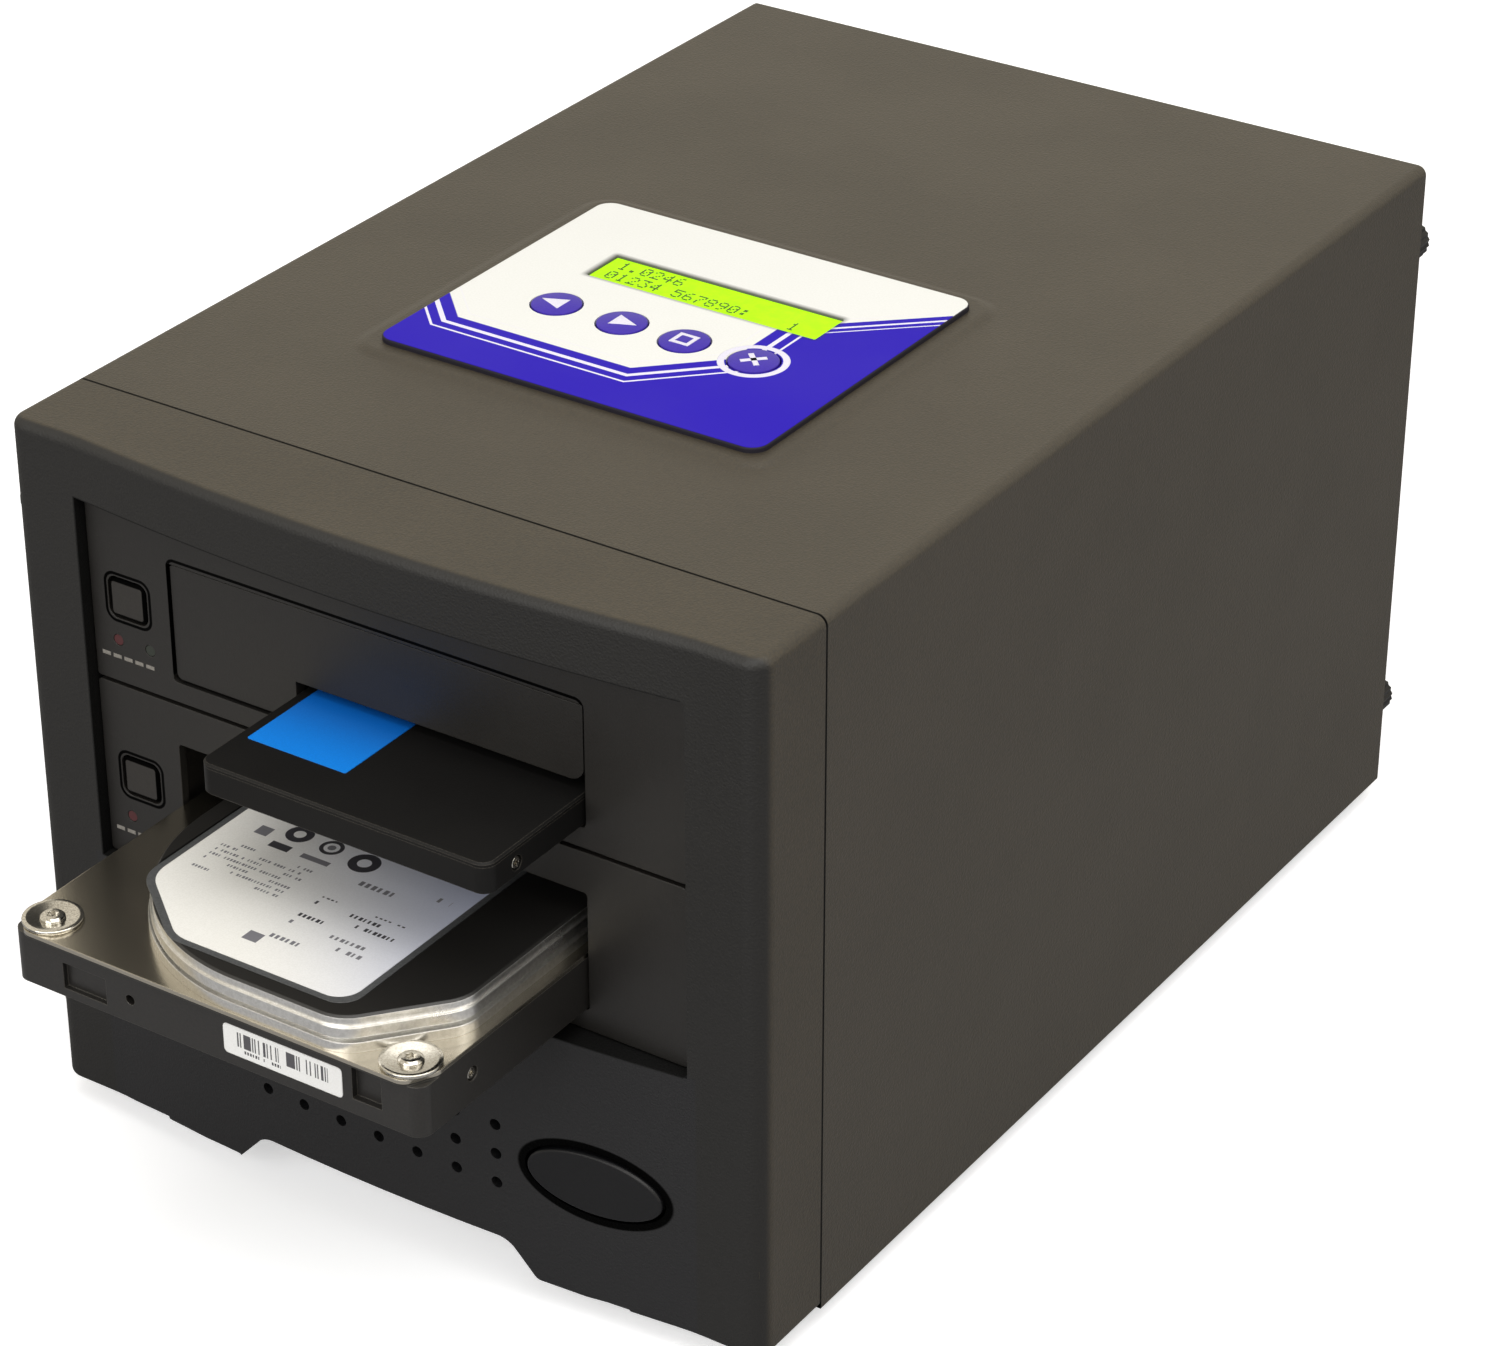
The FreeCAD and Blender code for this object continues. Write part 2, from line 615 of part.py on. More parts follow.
def power_switch():
    """Switch block on the chassis front wall; the button's stem runs in its bore."""
    half = SWITCH_SIZE / 2
    front = Y_SEAM - SWITCH_DEPTH
    body = prism("y", front, Y_SEAM, rect(POWER_X - half, POWER_X + half, POWER_Z - half, POWER_Z + half, 1.0))
    bore = rod("y", POWER_X, POWER_Z, front - CUT, front + SWITCH_BORE, POWER_STEM_R + POWER_STEM_FIT)
    legs = [block(POWER_X + dx - 0.4, POWER_X + dx + 0.4, Y_SEAM, Y_WALL + HOOK_REACH, POWER_Z - 1.5, POWER_Z + 1.5)
            for dx in (-3.0, 3.0)]
    return joined([body.cut(bore)] + legs)


# ---- Chassis and cover --------------------------------------------------------------------------------
def foot_places():
    """The four feet as (x, y)."""
    return [(x, y) for x in (-FOOT_X, FOOT_X) for y in (Y_FRONT + FOOT_SETBACK_FRONT, Y_REAR - FOOT_SETBACK_REAR)]


def standoff_places():
    """Corners of the controller board's fixing holes as (x, y)."""
    half = CONTROLLER_WIDTH / 2 - STANDOFF_INSET
    front = Y_WALL + CONTROLLER_FRONT
    return [(x, y) for x in (RACK_SHIFT - half, RACK_SHIFT + half)
            for y in (front + STANDOFF_INSET, front + CONTROLLER_LENGTH - STANDOFF_INSET)]


def thumb_places():
    """The cover's rear screws as (x, z)."""
    x = SIDE_X - SHEET - REAR_TAB / 2
    return [(side * x, Z_BASE + rise) for side in (-1, 1) for rise in THUMB_RISES]


def fan_holes():
    """The rear fan's fixing holes as (x, z)."""
    half = FAN_HOLE_PITCH / 2
    return [(FAN_X + dx, FAN_Z + dz) for dx in (-half, half) for dz in (-half, half)]


def chassis_front_openings():
    """Bays, air opening, switch leads and hook slots in the front wall."""
    bay_top = BAY_FLOOR + RACK_COUNT * BAY_PITCH
    y0, y1 = Y_SEAM - CUT, Y_WALL + CUT
    grid_x = (VENT_COLUMNS / 2) * VENT_PITCH_X
    grid_z = (VENT_ROWS / 2) * VENT_PITCH_Z
    cuts = [prism("y", y0, y1, rect(RACK_LEFT - CAGE_GAP, RACK_RIGHT + CAGE_GAP, BAY_FLOOR, bay_top, 1.0)),
            prism("y", y0, y1, rect(-grid_x, grid_x, VENT_HEIGHT - grid_z, VENT_HEIGHT + grid_z, 3.0)),
            rod("y", POWER_X, POWER_Z, y0, y1, SWITCH_SIZE / 2 - 1.5)]
    for side, z in hook_places():
        inner = SIDE_X - HOOK_INSET - COVER_GAP
        xs = sorted((side * inner, side * (inner + HOOK_WIDTH + 2 * COVER_GAP)))
        cuts.append(block(xs[0], xs[1], y0, y1, z - HOOK_BARB / 2 - COVER_GAP, z + HOOK_THICK + COVER_GAP))
    return cuts


def chassis_rear_openings():
    """Supply window, fan opening, screw holes and vent slots in the rear wall."""
    y0, y1 = Y_BACK - CUT, Y_REAR - SHEET + CUT
    cuts = [prism("y", y0, y1, rect(PSU_LEFT + PSU_FRAME, PSU_LEFT + PSU_WIDTH - PSU_FRAME,
                                    Z_FLOOR + PSU_FRAME, Z_FLOOR + PSU_HEIGHT - PSU_FRAME, 2.0)),
            rod("y", FAN_X, FAN_Z, y0, y1, FAN_BORE_R)]
    cuts += [rod("y", x, z, y0, y1, SCREW_R + SCREW_FIT) for x, z in fan_holes() + psu_screws()]
    cuts += [rod("y", x, z, y0, y1, THUMB_SHANK_R + SCREW_FIT) for x, z in thumb_places()]
    slot_top = FAN_Z + FAN_SIZE / 2
    for i in range(6):
        z = slot_top - i * 10.0
        cuts.append(prism("y", y0, y1, rect(PSU_LEFT + 12, PSU_LEFT + PSU_WIDTH - 14, z - 4.5, z - 1.5, 1.49)))
    return cuts


def chassis():
    """Folded sheet: floor with upturned edges, front wall and rear wall."""
    floor = block(-WALL_X, WALL_X, Y_SEAM, Y_REAR - SHEET, Z_BASE, Z_FLOOR)
    flanges = [block(side * (WALL_X - SHEET / 2) - SHEET / 2, side * (WALL_X - SHEET / 2) + SHEET / 2,
                     Y_SEAM, Y_REAR - SHEET, Z_BASE, Z_BASE + FLANGE) for side in (-1, 1)]
    wall = [(-WALL_X, Z_BASE, 0), (WALL_X, Z_BASE, 0),
            (WALL_X, WALL_TOP, COVER_CORNER_R), (-WALL_X, WALL_TOP, COVER_CORNER_R)]
    front = prism("y", Y_SEAM, Y_WALL, wall).cut(chassis_front_openings())
    rear = prism("y", Y_BACK, Y_REAR - SHEET, wall).cut(chassis_rear_openings())
    holes = [rod("z", x, y, Z_BASE - CUT, Z_FLOOR + CUT, SCREW_R + SCREW_FIT)
             for x, y in foot_places() + standoff_places()]
    return joined([floor.cut(holes), front, rear] + flanges)


def pad(drop):
    """Platform under the panel with softly curved sides, lowered by drop."""
    half_x = PANEL_WIDTH / 2 + PAD_MARGIN
    half_y = PANEL_LENGTH / 2 + PAD_MARGIN
    wires = []
    for i in range(PAD_LAYERS + 1):
        share = i / PAD_LAYERS
        rise = PAD_HEIGHT * share * share * (3 - 2 * share)
        inset = PAD_SLOPE * share
        wires.append(outline("z", Z_TOP + rise - drop, rect(PANEL_X - half_x + inset, PANEL_X + half_x - inset,
                                                            PANEL_Y - half_y + inset, PANEL_Y + half_y - inset,
                                                            PAD_R - inset)))
    return Part.makeLoft(wires, True, True)


def top_cover():
    """U-shaped cover with the stamped platform, the panel cut-out and two rear tabs."""
    outer = prism("y", Y_SEAM, Y_REAR, [(-SIDE_X, Z_BASE, 0), (SIDE_X, Z_BASE, 0),
                                        (SIDE_X, Z_TOP, COVER_CORNER_R), (-SIDE_X, Z_TOP, COVER_CORNER_R)])
    inner_x, inner_r = SIDE_X - SHEET, COVER_CORNER_R - SHEET
    inner = prism("y", Y_SEAM - CUT, Y_REAR + CUT,
                  [(-inner_x, Z_BASE - CUT, 0), (inner_x, Z_BASE - CUT, 0),
                   (inner_x, Z_TOP - SHEET, inner_r), (-inner_x, Z_TOP - SHEET, inner_r)])
    tabs = []
    for side in (-1, 1):
        xs = sorted((side * (inner_x - REAR_TAB), side * (inner_x + SHEET / 2)))
        tabs.append(block(xs[0], xs[1], Y_REAR - SHEET, Y_REAR, Z_BASE + REAR_TAB_END, Z_TOP - REAR_TAB_END))
    half_x = PANEL_WIDTH / 2 - PANEL_HOLE_MARGIN
    half_y = PANEL_LENGTH / 2 - PANEL_HOLE_MARGIN
    window = prism("z", Z_TOP - SHEET - CUT, PAD_TOP + CUT,
                   rect(PANEL_X - half_x, PANEL_X + half_x, PANEL_Y - half_y, PANEL_Y + half_y, 2.0))
    holes = [rod("y", x, z, Y_REAR - SHEET - CUT, Y_REAR + CUT, THUMB_SHANK_R + SCREW_FIT)
             for x, z in thumb_places()]
    return joined([outer.cut(inner), pad(0)] + tabs).cut([pad(SHEET), window] + holes)


def cover_thumbscrews():
    """Four knurled screws that hold the cover's rear tabs to the chassis."""
    screws = []
    for x, z in thumb_places():
        corners = []
        for i in range(2 * THUMB_TEETH):
            angle = math.pi * i / THUMB_TEETH
            radius = THUMB_R if i % 2 else THUMB_R - 0.35
            corners.append((x + radius * math.cos(angle), z + radius * math.sin(angle), 0))
        head = prism("y", Y_REAR + 1.0, Y_REAR + THUMB_LENGTH, corners)
        neck = rod("y", x, z, Y_REAR, Y_REAR + 1.0, THUMB_R - 1.2)
        shank = rod("y", x, z, Y_BACK - THUMB_REACH, Y_REAR + CUT, THUMB_SHANK_R)
        screws.append(joined([head, neck, shank]))
    return group(screws)


def rubber_feet():
    """Four round feet, slightly tapered, each with a dimple for its screw."""
    feet = []
    for x, y in foot_places():
        foot = Part.makeCone(FOOT_R - FOOT_TAPER, FOOT_R, FOOT_HEIGHT, Vector(x, y, 0))
        dimple = rod("z", x, y, -CUT, FOOT_DIMPLE + SCREW_HEAD, SCREW_HEAD_R + 0.5)
        hole = rod("z", x, y, 0, FOOT_HEIGHT + CUT, SCREW_R + SCREW_FIT)
        feet.append(foot.cut([dimple, hole]))
    return group(feet)


def foot_screws():
    """Screws that hold the feet to the chassis floor."""
    seat = FOOT_DIMPLE + SCREW_HEAD
    return group([screw("z", x, y, seat, 1, Z_FLOOR - seat) for x, y in foot_places()])


# ---- Cage ---------------------------------------------------------------------------------------------
def rack_screw_places():
    """Rack screws as (y, z)."""
    return [(Y_FACE + y, BAY_FLOOR + BAY_MARGIN_Z + i * BAY_PITCH + RACK_SCREW_RISE)
            for i in range(RACK_COUNT) for y in RACK_SCREW_YS]


def cage_plate(side):
    """Upright plate beside the racks, with a foot on the chassis floor and a window for the leads."""
    edge = RACK_RIGHT if side > 0 else -RACK_LEFT
    inner = edge + CAGE_GAP
    xs = sorted((side * inner, side * (inner + SHEET)))
    foot = sorted((side * inner, side * (inner + CAGE_FOOT)))
    rear = Y_PLANE - CAGE_REAR
    top = BAY_FLOOR + RACK_COUNT * BAY_PITCH
    plate = block(xs[0], xs[1], Y_WALL, rear, Z_FLOOR, top)
    base = block(foot[0], foot[1], Y_WALL, rear, Z_FLOOR, Z_FLOOR + SHEET)
    middle = (Y_WALL + rear) / 2
    window = prism("x", xs[0] - CUT, xs[1] + CUT, rect(middle - CAGE_WINDOW / 2, middle + CAGE_WINDOW / 2,
                                                       Z_FLOOR + 10, BAY_FLOOR - 12, 5.0))
    holes = [rod("x", y, z, xs[0] - CUT, xs[1] + CUT, SCREW_R + SCREW_FIT) for y, z in rack_screw_places()]
    return joined([plate, base]).cut([window] + holes)


def rack_screws():
    """Side screws through the cage plates into the racks."""
    screws = []
    for y, z in rack_screw_places():
        screws.append(screw("x", y, z, RACK_RIGHT + CAGE_GAP + SHEET, -1, SCREW_LENGTH))
        screws.append(screw("x", y, z, RACK_LEFT - CAGE_GAP - SHEET, 1, SCREW_LENGTH))
    return group(screws)


# ---- Racks (z0 is the lower edge of the rack's face) --------------------------------------------------
def rack_faceplate(z0):
    """Front plate with the drive opening, the key opening and the lamp holes."""
    x0 = RACK_SHIFT - RACK_FACE_WIDTH / 2
    plate = prism("y", Y_FACE, Y_FACE + RACK_FACE_THICK,
                  rect(x0, x0 + RACK_FACE_WIDTH, z0, z0 + RACK_FACE_HEIGHT, RACK_EDGE_R))
    y0, y1 = Y_FACE - CUT, Y_FACE + RACK_FACE_THICK + CUT
    key_x, key_z = RACK_KEY_WIDTH / 2, RACK_KEY_HEIGHT / 2
    slot = prism("y", y0, y1, rect(SLOT_LEFT, SLOT_RIGHT, z0 + SLOT_FLOOR, z0 + SLOT_FLOOR + SLOT_HEIGHT, SLOT_R))
    key = prism("y", y0, y1, rect(RACK_KEY_X - key_x, RACK_KEY_X + key_x, z0 + RACK_KEY_RISE - key_z,
                                  z0 + RACK_KEY_RISE + key_z, RACK_KEY_R))
    lamps = [rod("y", x, z0 + LAMP_RISE, y0, y1, LAMP_R + LAMP_GAP) for x in LAMP_XS]
    return plate.cut([slot, key] + lamps)


def rack_body(z0):
    """Moulded housing: drive channel between two partitions, side chambers, guide rails and floor rails."""
    y0, y1 = Y_FACE + RACK_FACE_THICK, Y_PLANE
    low, high = z0 + RACK_INSET_Z, z0 + RACK_INSET_Z + RACK_HEIGHT
    floor = z0 + SLOT_FLOOR - DRIVE_LIFT * 2
    ceiling = z0 + RACK_CEILING
    shell = prism("y", y0, y1, rect(RACK_LEFT, RACK_RIGHT, low, high, RACK_EDGE_R))
    chambers = [(RACK_LEFT + RACK_WALL, CHANNEL_LEFT - PARTITION, low + RACK_WALL),
                (CHANNEL_LEFT, CHANNEL_RIGHT, floor),
                (CHANNEL_RIGHT + PARTITION, RACK_RIGHT - RACK_WALL, low + RACK_WALL)]
    cuts = [prism("y", y0 - CUT, y1 + CUT, rect(left, right, bottom, ceiling, 0.5))
            for left, right, bottom in chambers]
    cuts += [rod("x", y, z, RACK_LEFT - CUT, RACK_RIGHT + CUT, SCREW_R + SCREW_FIT)
             for y, z in rack_screw_places() if low < z < high]
    cuts.append(rod("x", HINGE_Y, z0 + HINGE_Z, CHANNEL_LEFT - PARTITION - CUT, CHANNEL_RIGHT + PARTITION + CUT,
                    PIN_R + SCREW_FIT))
    solid = shell.cut(cuts)
    rail_z = z0 + SLOT_FLOOR + DRIVE_LIFT
    rail_start, rail_end = Y_FACE + GUIDE_START, y1 - SOCKET_DEPTH - GUIDE_END_GAP
    taper = GUIDE_DEPTH * 2
    rails = []
    for edge, side in ((CHANNEL_LEFT, 1), (CHANNEL_RIGHT, -1)):
        rails.append(prism("z", rail_z, rail_z + GUIDE_HEIGHT,
                           [(edge - side * 0.2, rail_start, 0), (edge, rail_start, 0),
                            (edge + side * GUIDE_DEPTH, rail_start + taper, 0),
                            (edge + side * GUIDE_DEPTH, rail_end, 0), (edge - side * 0.2, rail_end, 0)]))
    top = z0 + SLOT_FLOOR
    for x in (SLOT_LEFT + RUNNER_INSET, SLOT_RIGHT - RUNNER_INSET - RUNNER_WIDTH):
        rails.append(prism("x", x, x + RUNNER_WIDTH, [(Y_FACE + RUNNER_START, floor - 0.2, 0),
                                                      (Y_FACE + RUNNER_START, floor, 0),
                                                      (Y_FACE + RUNNER_START + 2, top, 0),
                                                      (rail_end, top, 0), (rail_end, floor - 0.2, 0)]))
    return joined([solid] + rails)


def closed_door(z0):
    """Door as it hangs when shut: raised panel, back plate and hinge barrels; returned with its axis height."""
    left, right = SLOT_LEFT + DOOR_GAP, SLOT_RIGHT - DOOR_GAP
    bottom, top = z0 + SLOT_FLOOR + DOOR_FLOOR_GAP, z0 + SLOT_FLOOR + SLOT_HEIGHT - DOOR_GAP
    notch = z0 + SLOT_FLOOR + NOTCH_HEIGHT
    front = Y_FACE + DOOR_RECESS
    mid = front + DOOR_PANEL
    back = mid + DOOR_BACK
    axis_z = z0 + HINGE_Z
    lower = [(left, bottom, 1.0), (NOTCH_EDGE, bottom, 0), (NOTCH_EDGE, notch, 0), (right, notch, DOOR_CORNER_R)]
    panel = prism("y", front, mid, lower + [(right, top, SLOT_R), (left, top, SLOT_R)])
    plate = prism("y", mid, back, lower + [(right, axis_z, 0), (left, axis_z, 0)])
    bore = rod("x", HINGE_Y, axis_z, CHANNEL_LEFT, CHANNEL_RIGHT, PIN_R + PIN_PLAY)
    spring_end = SPRING_START + SPRING_LENGTH
    relief = block(SPRING_START - BARREL_END_GAP, spring_end + BARREL_END_GAP, front - CUT, back + CUT,
                   axis_z - BARREL_R - REST_GAP, axis_z + BARREL_R)
    barrels = [rod("x", HINGE_Y, axis_z, left + BARREL_END_GAP, SPRING_START - BARREL_END_GAP, BARREL_R),
               rod("x", HINGE_Y, axis_z, spring_end + BARREL_END_GAP, right - BARREL_END_GAP, BARREL_R)]
    return joined([panel, plate.cut(relief)] + barrels).cut(bore)


def door_spring(z0):
    """Closing spring wound round the pin, with one leg on the back of the door."""
    axis_z = z0 + HINGE_Z
    pitch = SPRING_LENGTH / SPRING_TURNS
    mean = SPRING_R - SPRING_WIRE_R
    profile = [Vector(SPRING_START, 0, PIN_R + PIN_PLAY)]
    for i in range(SPRING_TURNS):
        x = SPRING_START + i * pitch
        profile += [Vector(x, 0, mean), Vector(x + pitch / 4, 0, SPRING_R), Vector(x + 3 * pitch / 4, 0, SPRING_R)]
    profile += [Vector(SPRING_START + SPRING_LENGTH, 0, mean),
                Vector(SPRING_START + SPRING_LENGTH, 0, PIN_R + PIN_PLAY), profile[0]]
    coil = Part.Face(Part.makePolygon(profile)).revolve(Vector(0, 0, 0), Vector(1, 0, 0), 360)
    coil.translate(Vector(0, HINGE_Y, axis_z))
    back = Y_FACE + DOOR_RECESS + DOOR_PANEL + DOOR_BACK
    leg = rod("z", SPRING_START + SPRING_LENGTH / 2, back + SPRING_WIRE_R, axis_z - SPRING_LEG,
              axis_z - PIN_R - SPRING_WIRE_R, SPRING_WIRE_R)
    return joined([coil, leg])


def held_up_angle():
    """Degrees that a door is turned when its lower edge lies on a 3.5 inch drive."""
    lean = HINGE_DEPTH - DOOR_RECESS
    drop = SLOT_HEIGHT - DOOR_FLOOR_GAP + HINGE_RISE
    room = SLOT_HEIGHT + HINGE_RISE - DRIVE_LIFT - DRIVE_HEIGHT - REST_GAP
    return math.degrees(math.acos(room / math.hypot(lean, drop)) + math.atan2(lean, drop))


def swung(shape, z0, degrees):
    """The shape turned inwards about the hinge of the rack at z0."""
    turned = shape.copy()
    turned.rotate(Vector(0, HINGE_Y, z0 + HINGE_Z), Vector(1, 0, 0), degrees)
    return turned


def door_pin(z0):
    """Steel pin through both partitions."""
    return rod("x", HINGE_Y, z0 + HINGE_Z, CHANNEL_LEFT - PARTITION, CHANNEL_RIGHT + PARTITION, PIN_R)


def rack_button(z0):
    """Square key with a hollow back and a flange behind the rack's face."""
    z = z0 + RACK_KEY_RISE
    half_x = RACK_KEY_WIDTH / 2 - RACK_KEY_GAP
    half_z = RACK_KEY_HEIGHT / 2 - RACK_KEY_GAP
    cap = prism("y", Y_FACE - 0.2, Y_FACE + RACK_KEY_DEPTH,
                rect(RACK_KEY_X - half_x, RACK_KEY_X + half_x, z - half_z, z + half_z, RACK_KEY_R - RACK_KEY_GAP))
    front = [edge for edge in cap.Edges if edge.BoundBox.YMax < Y_FACE - 0.19]
    cap = cap.makeChamfer(0.5, front)
    inner = Y_FACE + RACK_FACE_THICK + COVER_GAP
    skirt_x, skirt_z = half_x + RACK_KEY_SKIRT, half_z + RACK_KEY_SKIRT
    skirt = prism("y", inner, inner + 1.0, rect(RACK_KEY_X - skirt_x, RACK_KEY_X + skirt_x,
                                                z - skirt_z, z + skirt_z, RACK_KEY_R))
    room = TACT / 2 + COVER_GAP
    hollow = block(RACK_KEY_X - room, RACK_KEY_X + room, Y_FACE + 1.6, Y_FACE + RACK_KEY_DEPTH + CUT,
                   z - room, z + room)
    return joined([cap, skirt]).cut(hollow)


def lamp_board(z0):
    """Board across the left chamber with the key's tact switch, and the two lamps that stand on it."""
    left, right = RACK_LEFT + RACK_WALL, CHANNEL_LEFT - PARTITION
    front = Y_FACE + LAMP_BOARD_DEPTH
    low = z0 + RACK_INSET_Z + RACK_WALL + LAMP_BOARD_RISE
    board = block(left, right, front, front + BOARD, low, low + LAMP_BOARD_HEIGHT)
    z = z0 + RACK_KEY_RISE
    tact = block(RACK_KEY_X - TACT / 2, RACK_KEY_X + TACT / 2, front - TACT_HEIGHT, front, z - TACT / 2, z + TACT / 2)
    plunger_end = Y_FACE + 1.6 + RACK_KEY_TRAVEL + 0.1
    plunger = rod("y", RACK_KEY_X, z, plunger_end, front - TACT_HEIGHT, TACT_PLUNGER_R)
    lamps = [rod("y", x, z0 + LAMP_RISE, Y_FACE + 0.1, front, LAMP_R) for x in LAMP_XS]
    return group([joined([board, tact, plunger])] + lamps)


def socket_shape(z0, play):
    """Outline solid of the socket nose, smaller than the plug's mouth by play."""
    half = PLUG_WIDTH / 2 - PLUG_WALL - play
    low = z0 + SLOT_FLOOR + DRIVE_LIFT + PLUG_FLOOR
    return prism("y", Y_HOME - PLUG_DEPTH + PLUG_WALL + play, Y_PLANE,
                 rect(PLUG_CENTRE - half, PLUG_CENTRE + half, low + PLUG_WALL + play,
                      low + PLUG_HEIGHT - PLUG_WALL - play, 0.3))


def tongues(z0, y0, y1, grow):
    """Signal and power tongues of a drive plug, thicker by grow on every side."""
    half = PLUG_WIDTH / 2 - PLUG_WALL - 2.0
    middle = z0 + SLOT_FLOOR + DRIVE_LIFT + PLUG_FLOOR + PLUG_HEIGHT / 2
    low, high = middle - TONGUE / 2 - grow, middle + TONGUE / 2 + grow
    split = PLUG_CENTRE - half + TONGUE_SIGNAL
    return [block(PLUG_CENTRE - half - grow, split + grow, y0, y1, low, high),
            block(split + TONGUE_SPLIT - grow, PLUG_CENTRE + half + grow, y0, y1, low, high)]


def rack_socket(z0):
    """Socket on the backplane that a drive plugs into."""
    return socket_shape(z0, SOCKET_PLAY).cut(tongues(z0, Y_HOME - PLUG_DEPTH, Y_HOME + 1.0, SOCKET_PLAY))


def rack_backplane(z0):
    """Board across the rear of the rack, with its lead connectors."""
    low, high = z0 + SLOT_FLOOR - PLANE_DROP, z0 + RACK_CEILING - BOARD_MARGIN
    board = block(CHANNEL_LEFT - BOARD_MARGIN, CHANNEL_RIGHT + BOARD_MARGIN, Y_PLANE, Y_PLANE + BOARD, low, high)
    rear = Y_PLANE + BOARD
    data = block(*DATA_PLUG_XS, rear, rear + DATA_PLUG_LENGTH, *[low + rise for rise in DATA_PLUG_RISES])
    power = block(*POWER_PLUG_XS, rear, rear + POWER_PLUG_LENGTH, *[low + rise for rise in POWER_PLUG_RISES])
    return joined([board, data, power])


# ---- Drives -------------------------------------------------------------------------------------------
def drive_plug(z0, rear):
    """Plug at the rear of a drive: open box with two tongues inside."""
    low = z0 + SLOT_FLOOR + DRIVE_LIFT + PLUG_FLOOR
    half = PLUG_WIDTH / 2
    shell = block(PLUG_CENTRE - half, PLUG_CENTRE + half, rear - PLUG_DEPTH, rear, low, low + PLUG_HEIGHT)
    mouth = block(PLUG_CENTRE - half + PLUG_WALL, PLUG_CENTRE + half - PLUG_WALL, rear - PLUG_DEPTH + PLUG_WALL,
                  rear + CUT, low + PLUG_WALL, low + PLUG_HEIGHT - PLUG_WALL)
    return joined([shell.cut(mouth)] + tongues(z0, rear - PLUG_DEPTH + PLUG_WALL / 2, rear - 0.3, 0))


def plug_pocket(z0, rear):
    """Space for the plug in the drive's housing."""
    low = z0 + SLOT_FLOOR + DRIVE_LIFT
    half = PLUG_WIDTH / 2 + PLUG_FIT
    return block(PLUG_CENTRE - half, PLUG_CENTRE + half, rear - PLUG_DEPTH - PLUG_FIT, rear + CUT,
                 low - CUT, low + PLUG_FLOOR + PLUG_HEIGHT + PLUG_FIT)


def hdd_frame():
    """Left, right, front, rear and lower side of the 3.5 inch drive, which is fully in the lower rack."""
    left = SLOT_CENTRE - DRIVE_WIDTH / 2
    return left, left + DRIVE_WIDTH, Y_HOME - DRIVE_LENGTH, Y_HOME, rack_z(0) + SLOT_FLOOR + DRIVE_LIFT


def side_screw_holes(left, right, front, z, ys, radius, depth):
    """Rods for the tapped holes in both sides of a drive."""
    rods = []
    for y in ys:
        rods.append(rod("x", front + y, z, left - CUT, left + depth, radius))
        rods.append(rod("x", front + y, z, right - depth, right + CUT, radius))
    return rods


def hdd_base():
    """Casting with corner ears, a set-back front face, side holes and room for the board and the plug."""
    left, right, front, rear, low = hdd_frame()
    plate_low = low + BASE_HEIGHT - EAR_PLATE
    tub = prism("z", low, plate_low, [(left, front + BASE_SETBACK, BASE_CORNER_R),
                                      (right, front + BASE_SETBACK, BASE_CORNER_R),
                                      (right, rear, 1.0), (left, rear, 1.0)])
    notch = EAR_R * 0.55
    plate = prism("z", plate_low, low + BASE_HEIGHT,
                  [(left, front + EAR_R, EAR_R * 0.5), (left + notch, front, EAR_R * 0.5),
                   (right - notch, front, EAR_R * 0.5), (right, front + EAR_R, EAR_R * 0.5),
                   (right, rear, 1.0), (left, rear, 1.0)])
    recess = block(left + HDD_BOARD_SIDE, right - HDD_BOARD_SIDE, front + HDD_BOARD_FRONT, rear - HDD_BOARD_REAR,
                   low - CUT, low + BOARD)
    cuts = [recess, plug_pocket(rack_z(0), rear)]
    cuts += side_screw_holes(left, right, front, low + DRIVE_HOLE_RISE, DRIVE_HOLE_YS, SIDE_HOLE_R,
                             SIDE_HOLE_DEPTH)
    cuts += [block(left + 13, left + 24, front - CUT, front + BASE_SETBACK + 1.2, low + 2, low + 8),
             rod("y", left + 30.2, low + 5.5, front - CUT, front + BASE_SETBACK + 3, 1.1),
             block(right - 16.5, right - 9.5, front - CUT, front + BASE_SETBACK + 1.5, low + 3.5, plate_low)]
    return joined([tub, plate]).cut(cuts)


def cover_outline(inset):
    """Plan of the 3.5 inch drive's cover: wide curve on the left, cut corner on the right."""
    left, right, front, rear, low = hdd_frame()
    x0, x1 = -SPINDLE_X + inset, COVER_RIGHT - inset
    y0, y1 = front + COVER_FRONT + inset, rear - COVER_REAR - inset
    return [(x0, y1, COVER_REAR_R), (x0, y0, COVER_CURVE_R - inset), (x1 - COVER_CHAMFER_X, y0, COVER_CUT_R),
            (x1, y0 + COVER_CHAMFER_Y, COVER_CUT_R), (x1, y1, COVER_REAR_R)]


def hdd_cover():
    """Stepped cover: a step, a groove, a second step and the raised top with the label recess."""
    left, right, front, rear, low = hdd_frame()
    z = low + BASE_HEIGHT
    first = z + STEP_HEIGHT
    second = first + GROOVE_HEIGHT
    third = second + STEP_HEIGHT
    top = low + DRIVE_HEIGHT
    layers = [prism("z", z, first, cover_outline(0)), prism("z", first, second, cover_outline(GROOVE_DEPTH)),
              prism("z", second, third, cover_outline(STEP_INSET)),
              prism("z", third, top, cover_outline(2 * STEP_INSET))]
    cover = joined(layers)
    edges = [edge for edge in cover.Edges if edge.BoundBox.ZMin > top - 0.01]
    cover = cover.makeChamfer(COVER_BEVEL, edges)
    recess = prism("z", top - LABEL_RECESS, top + CUT, label_outline(-LABEL_RING))
    return cover.cut(recess)


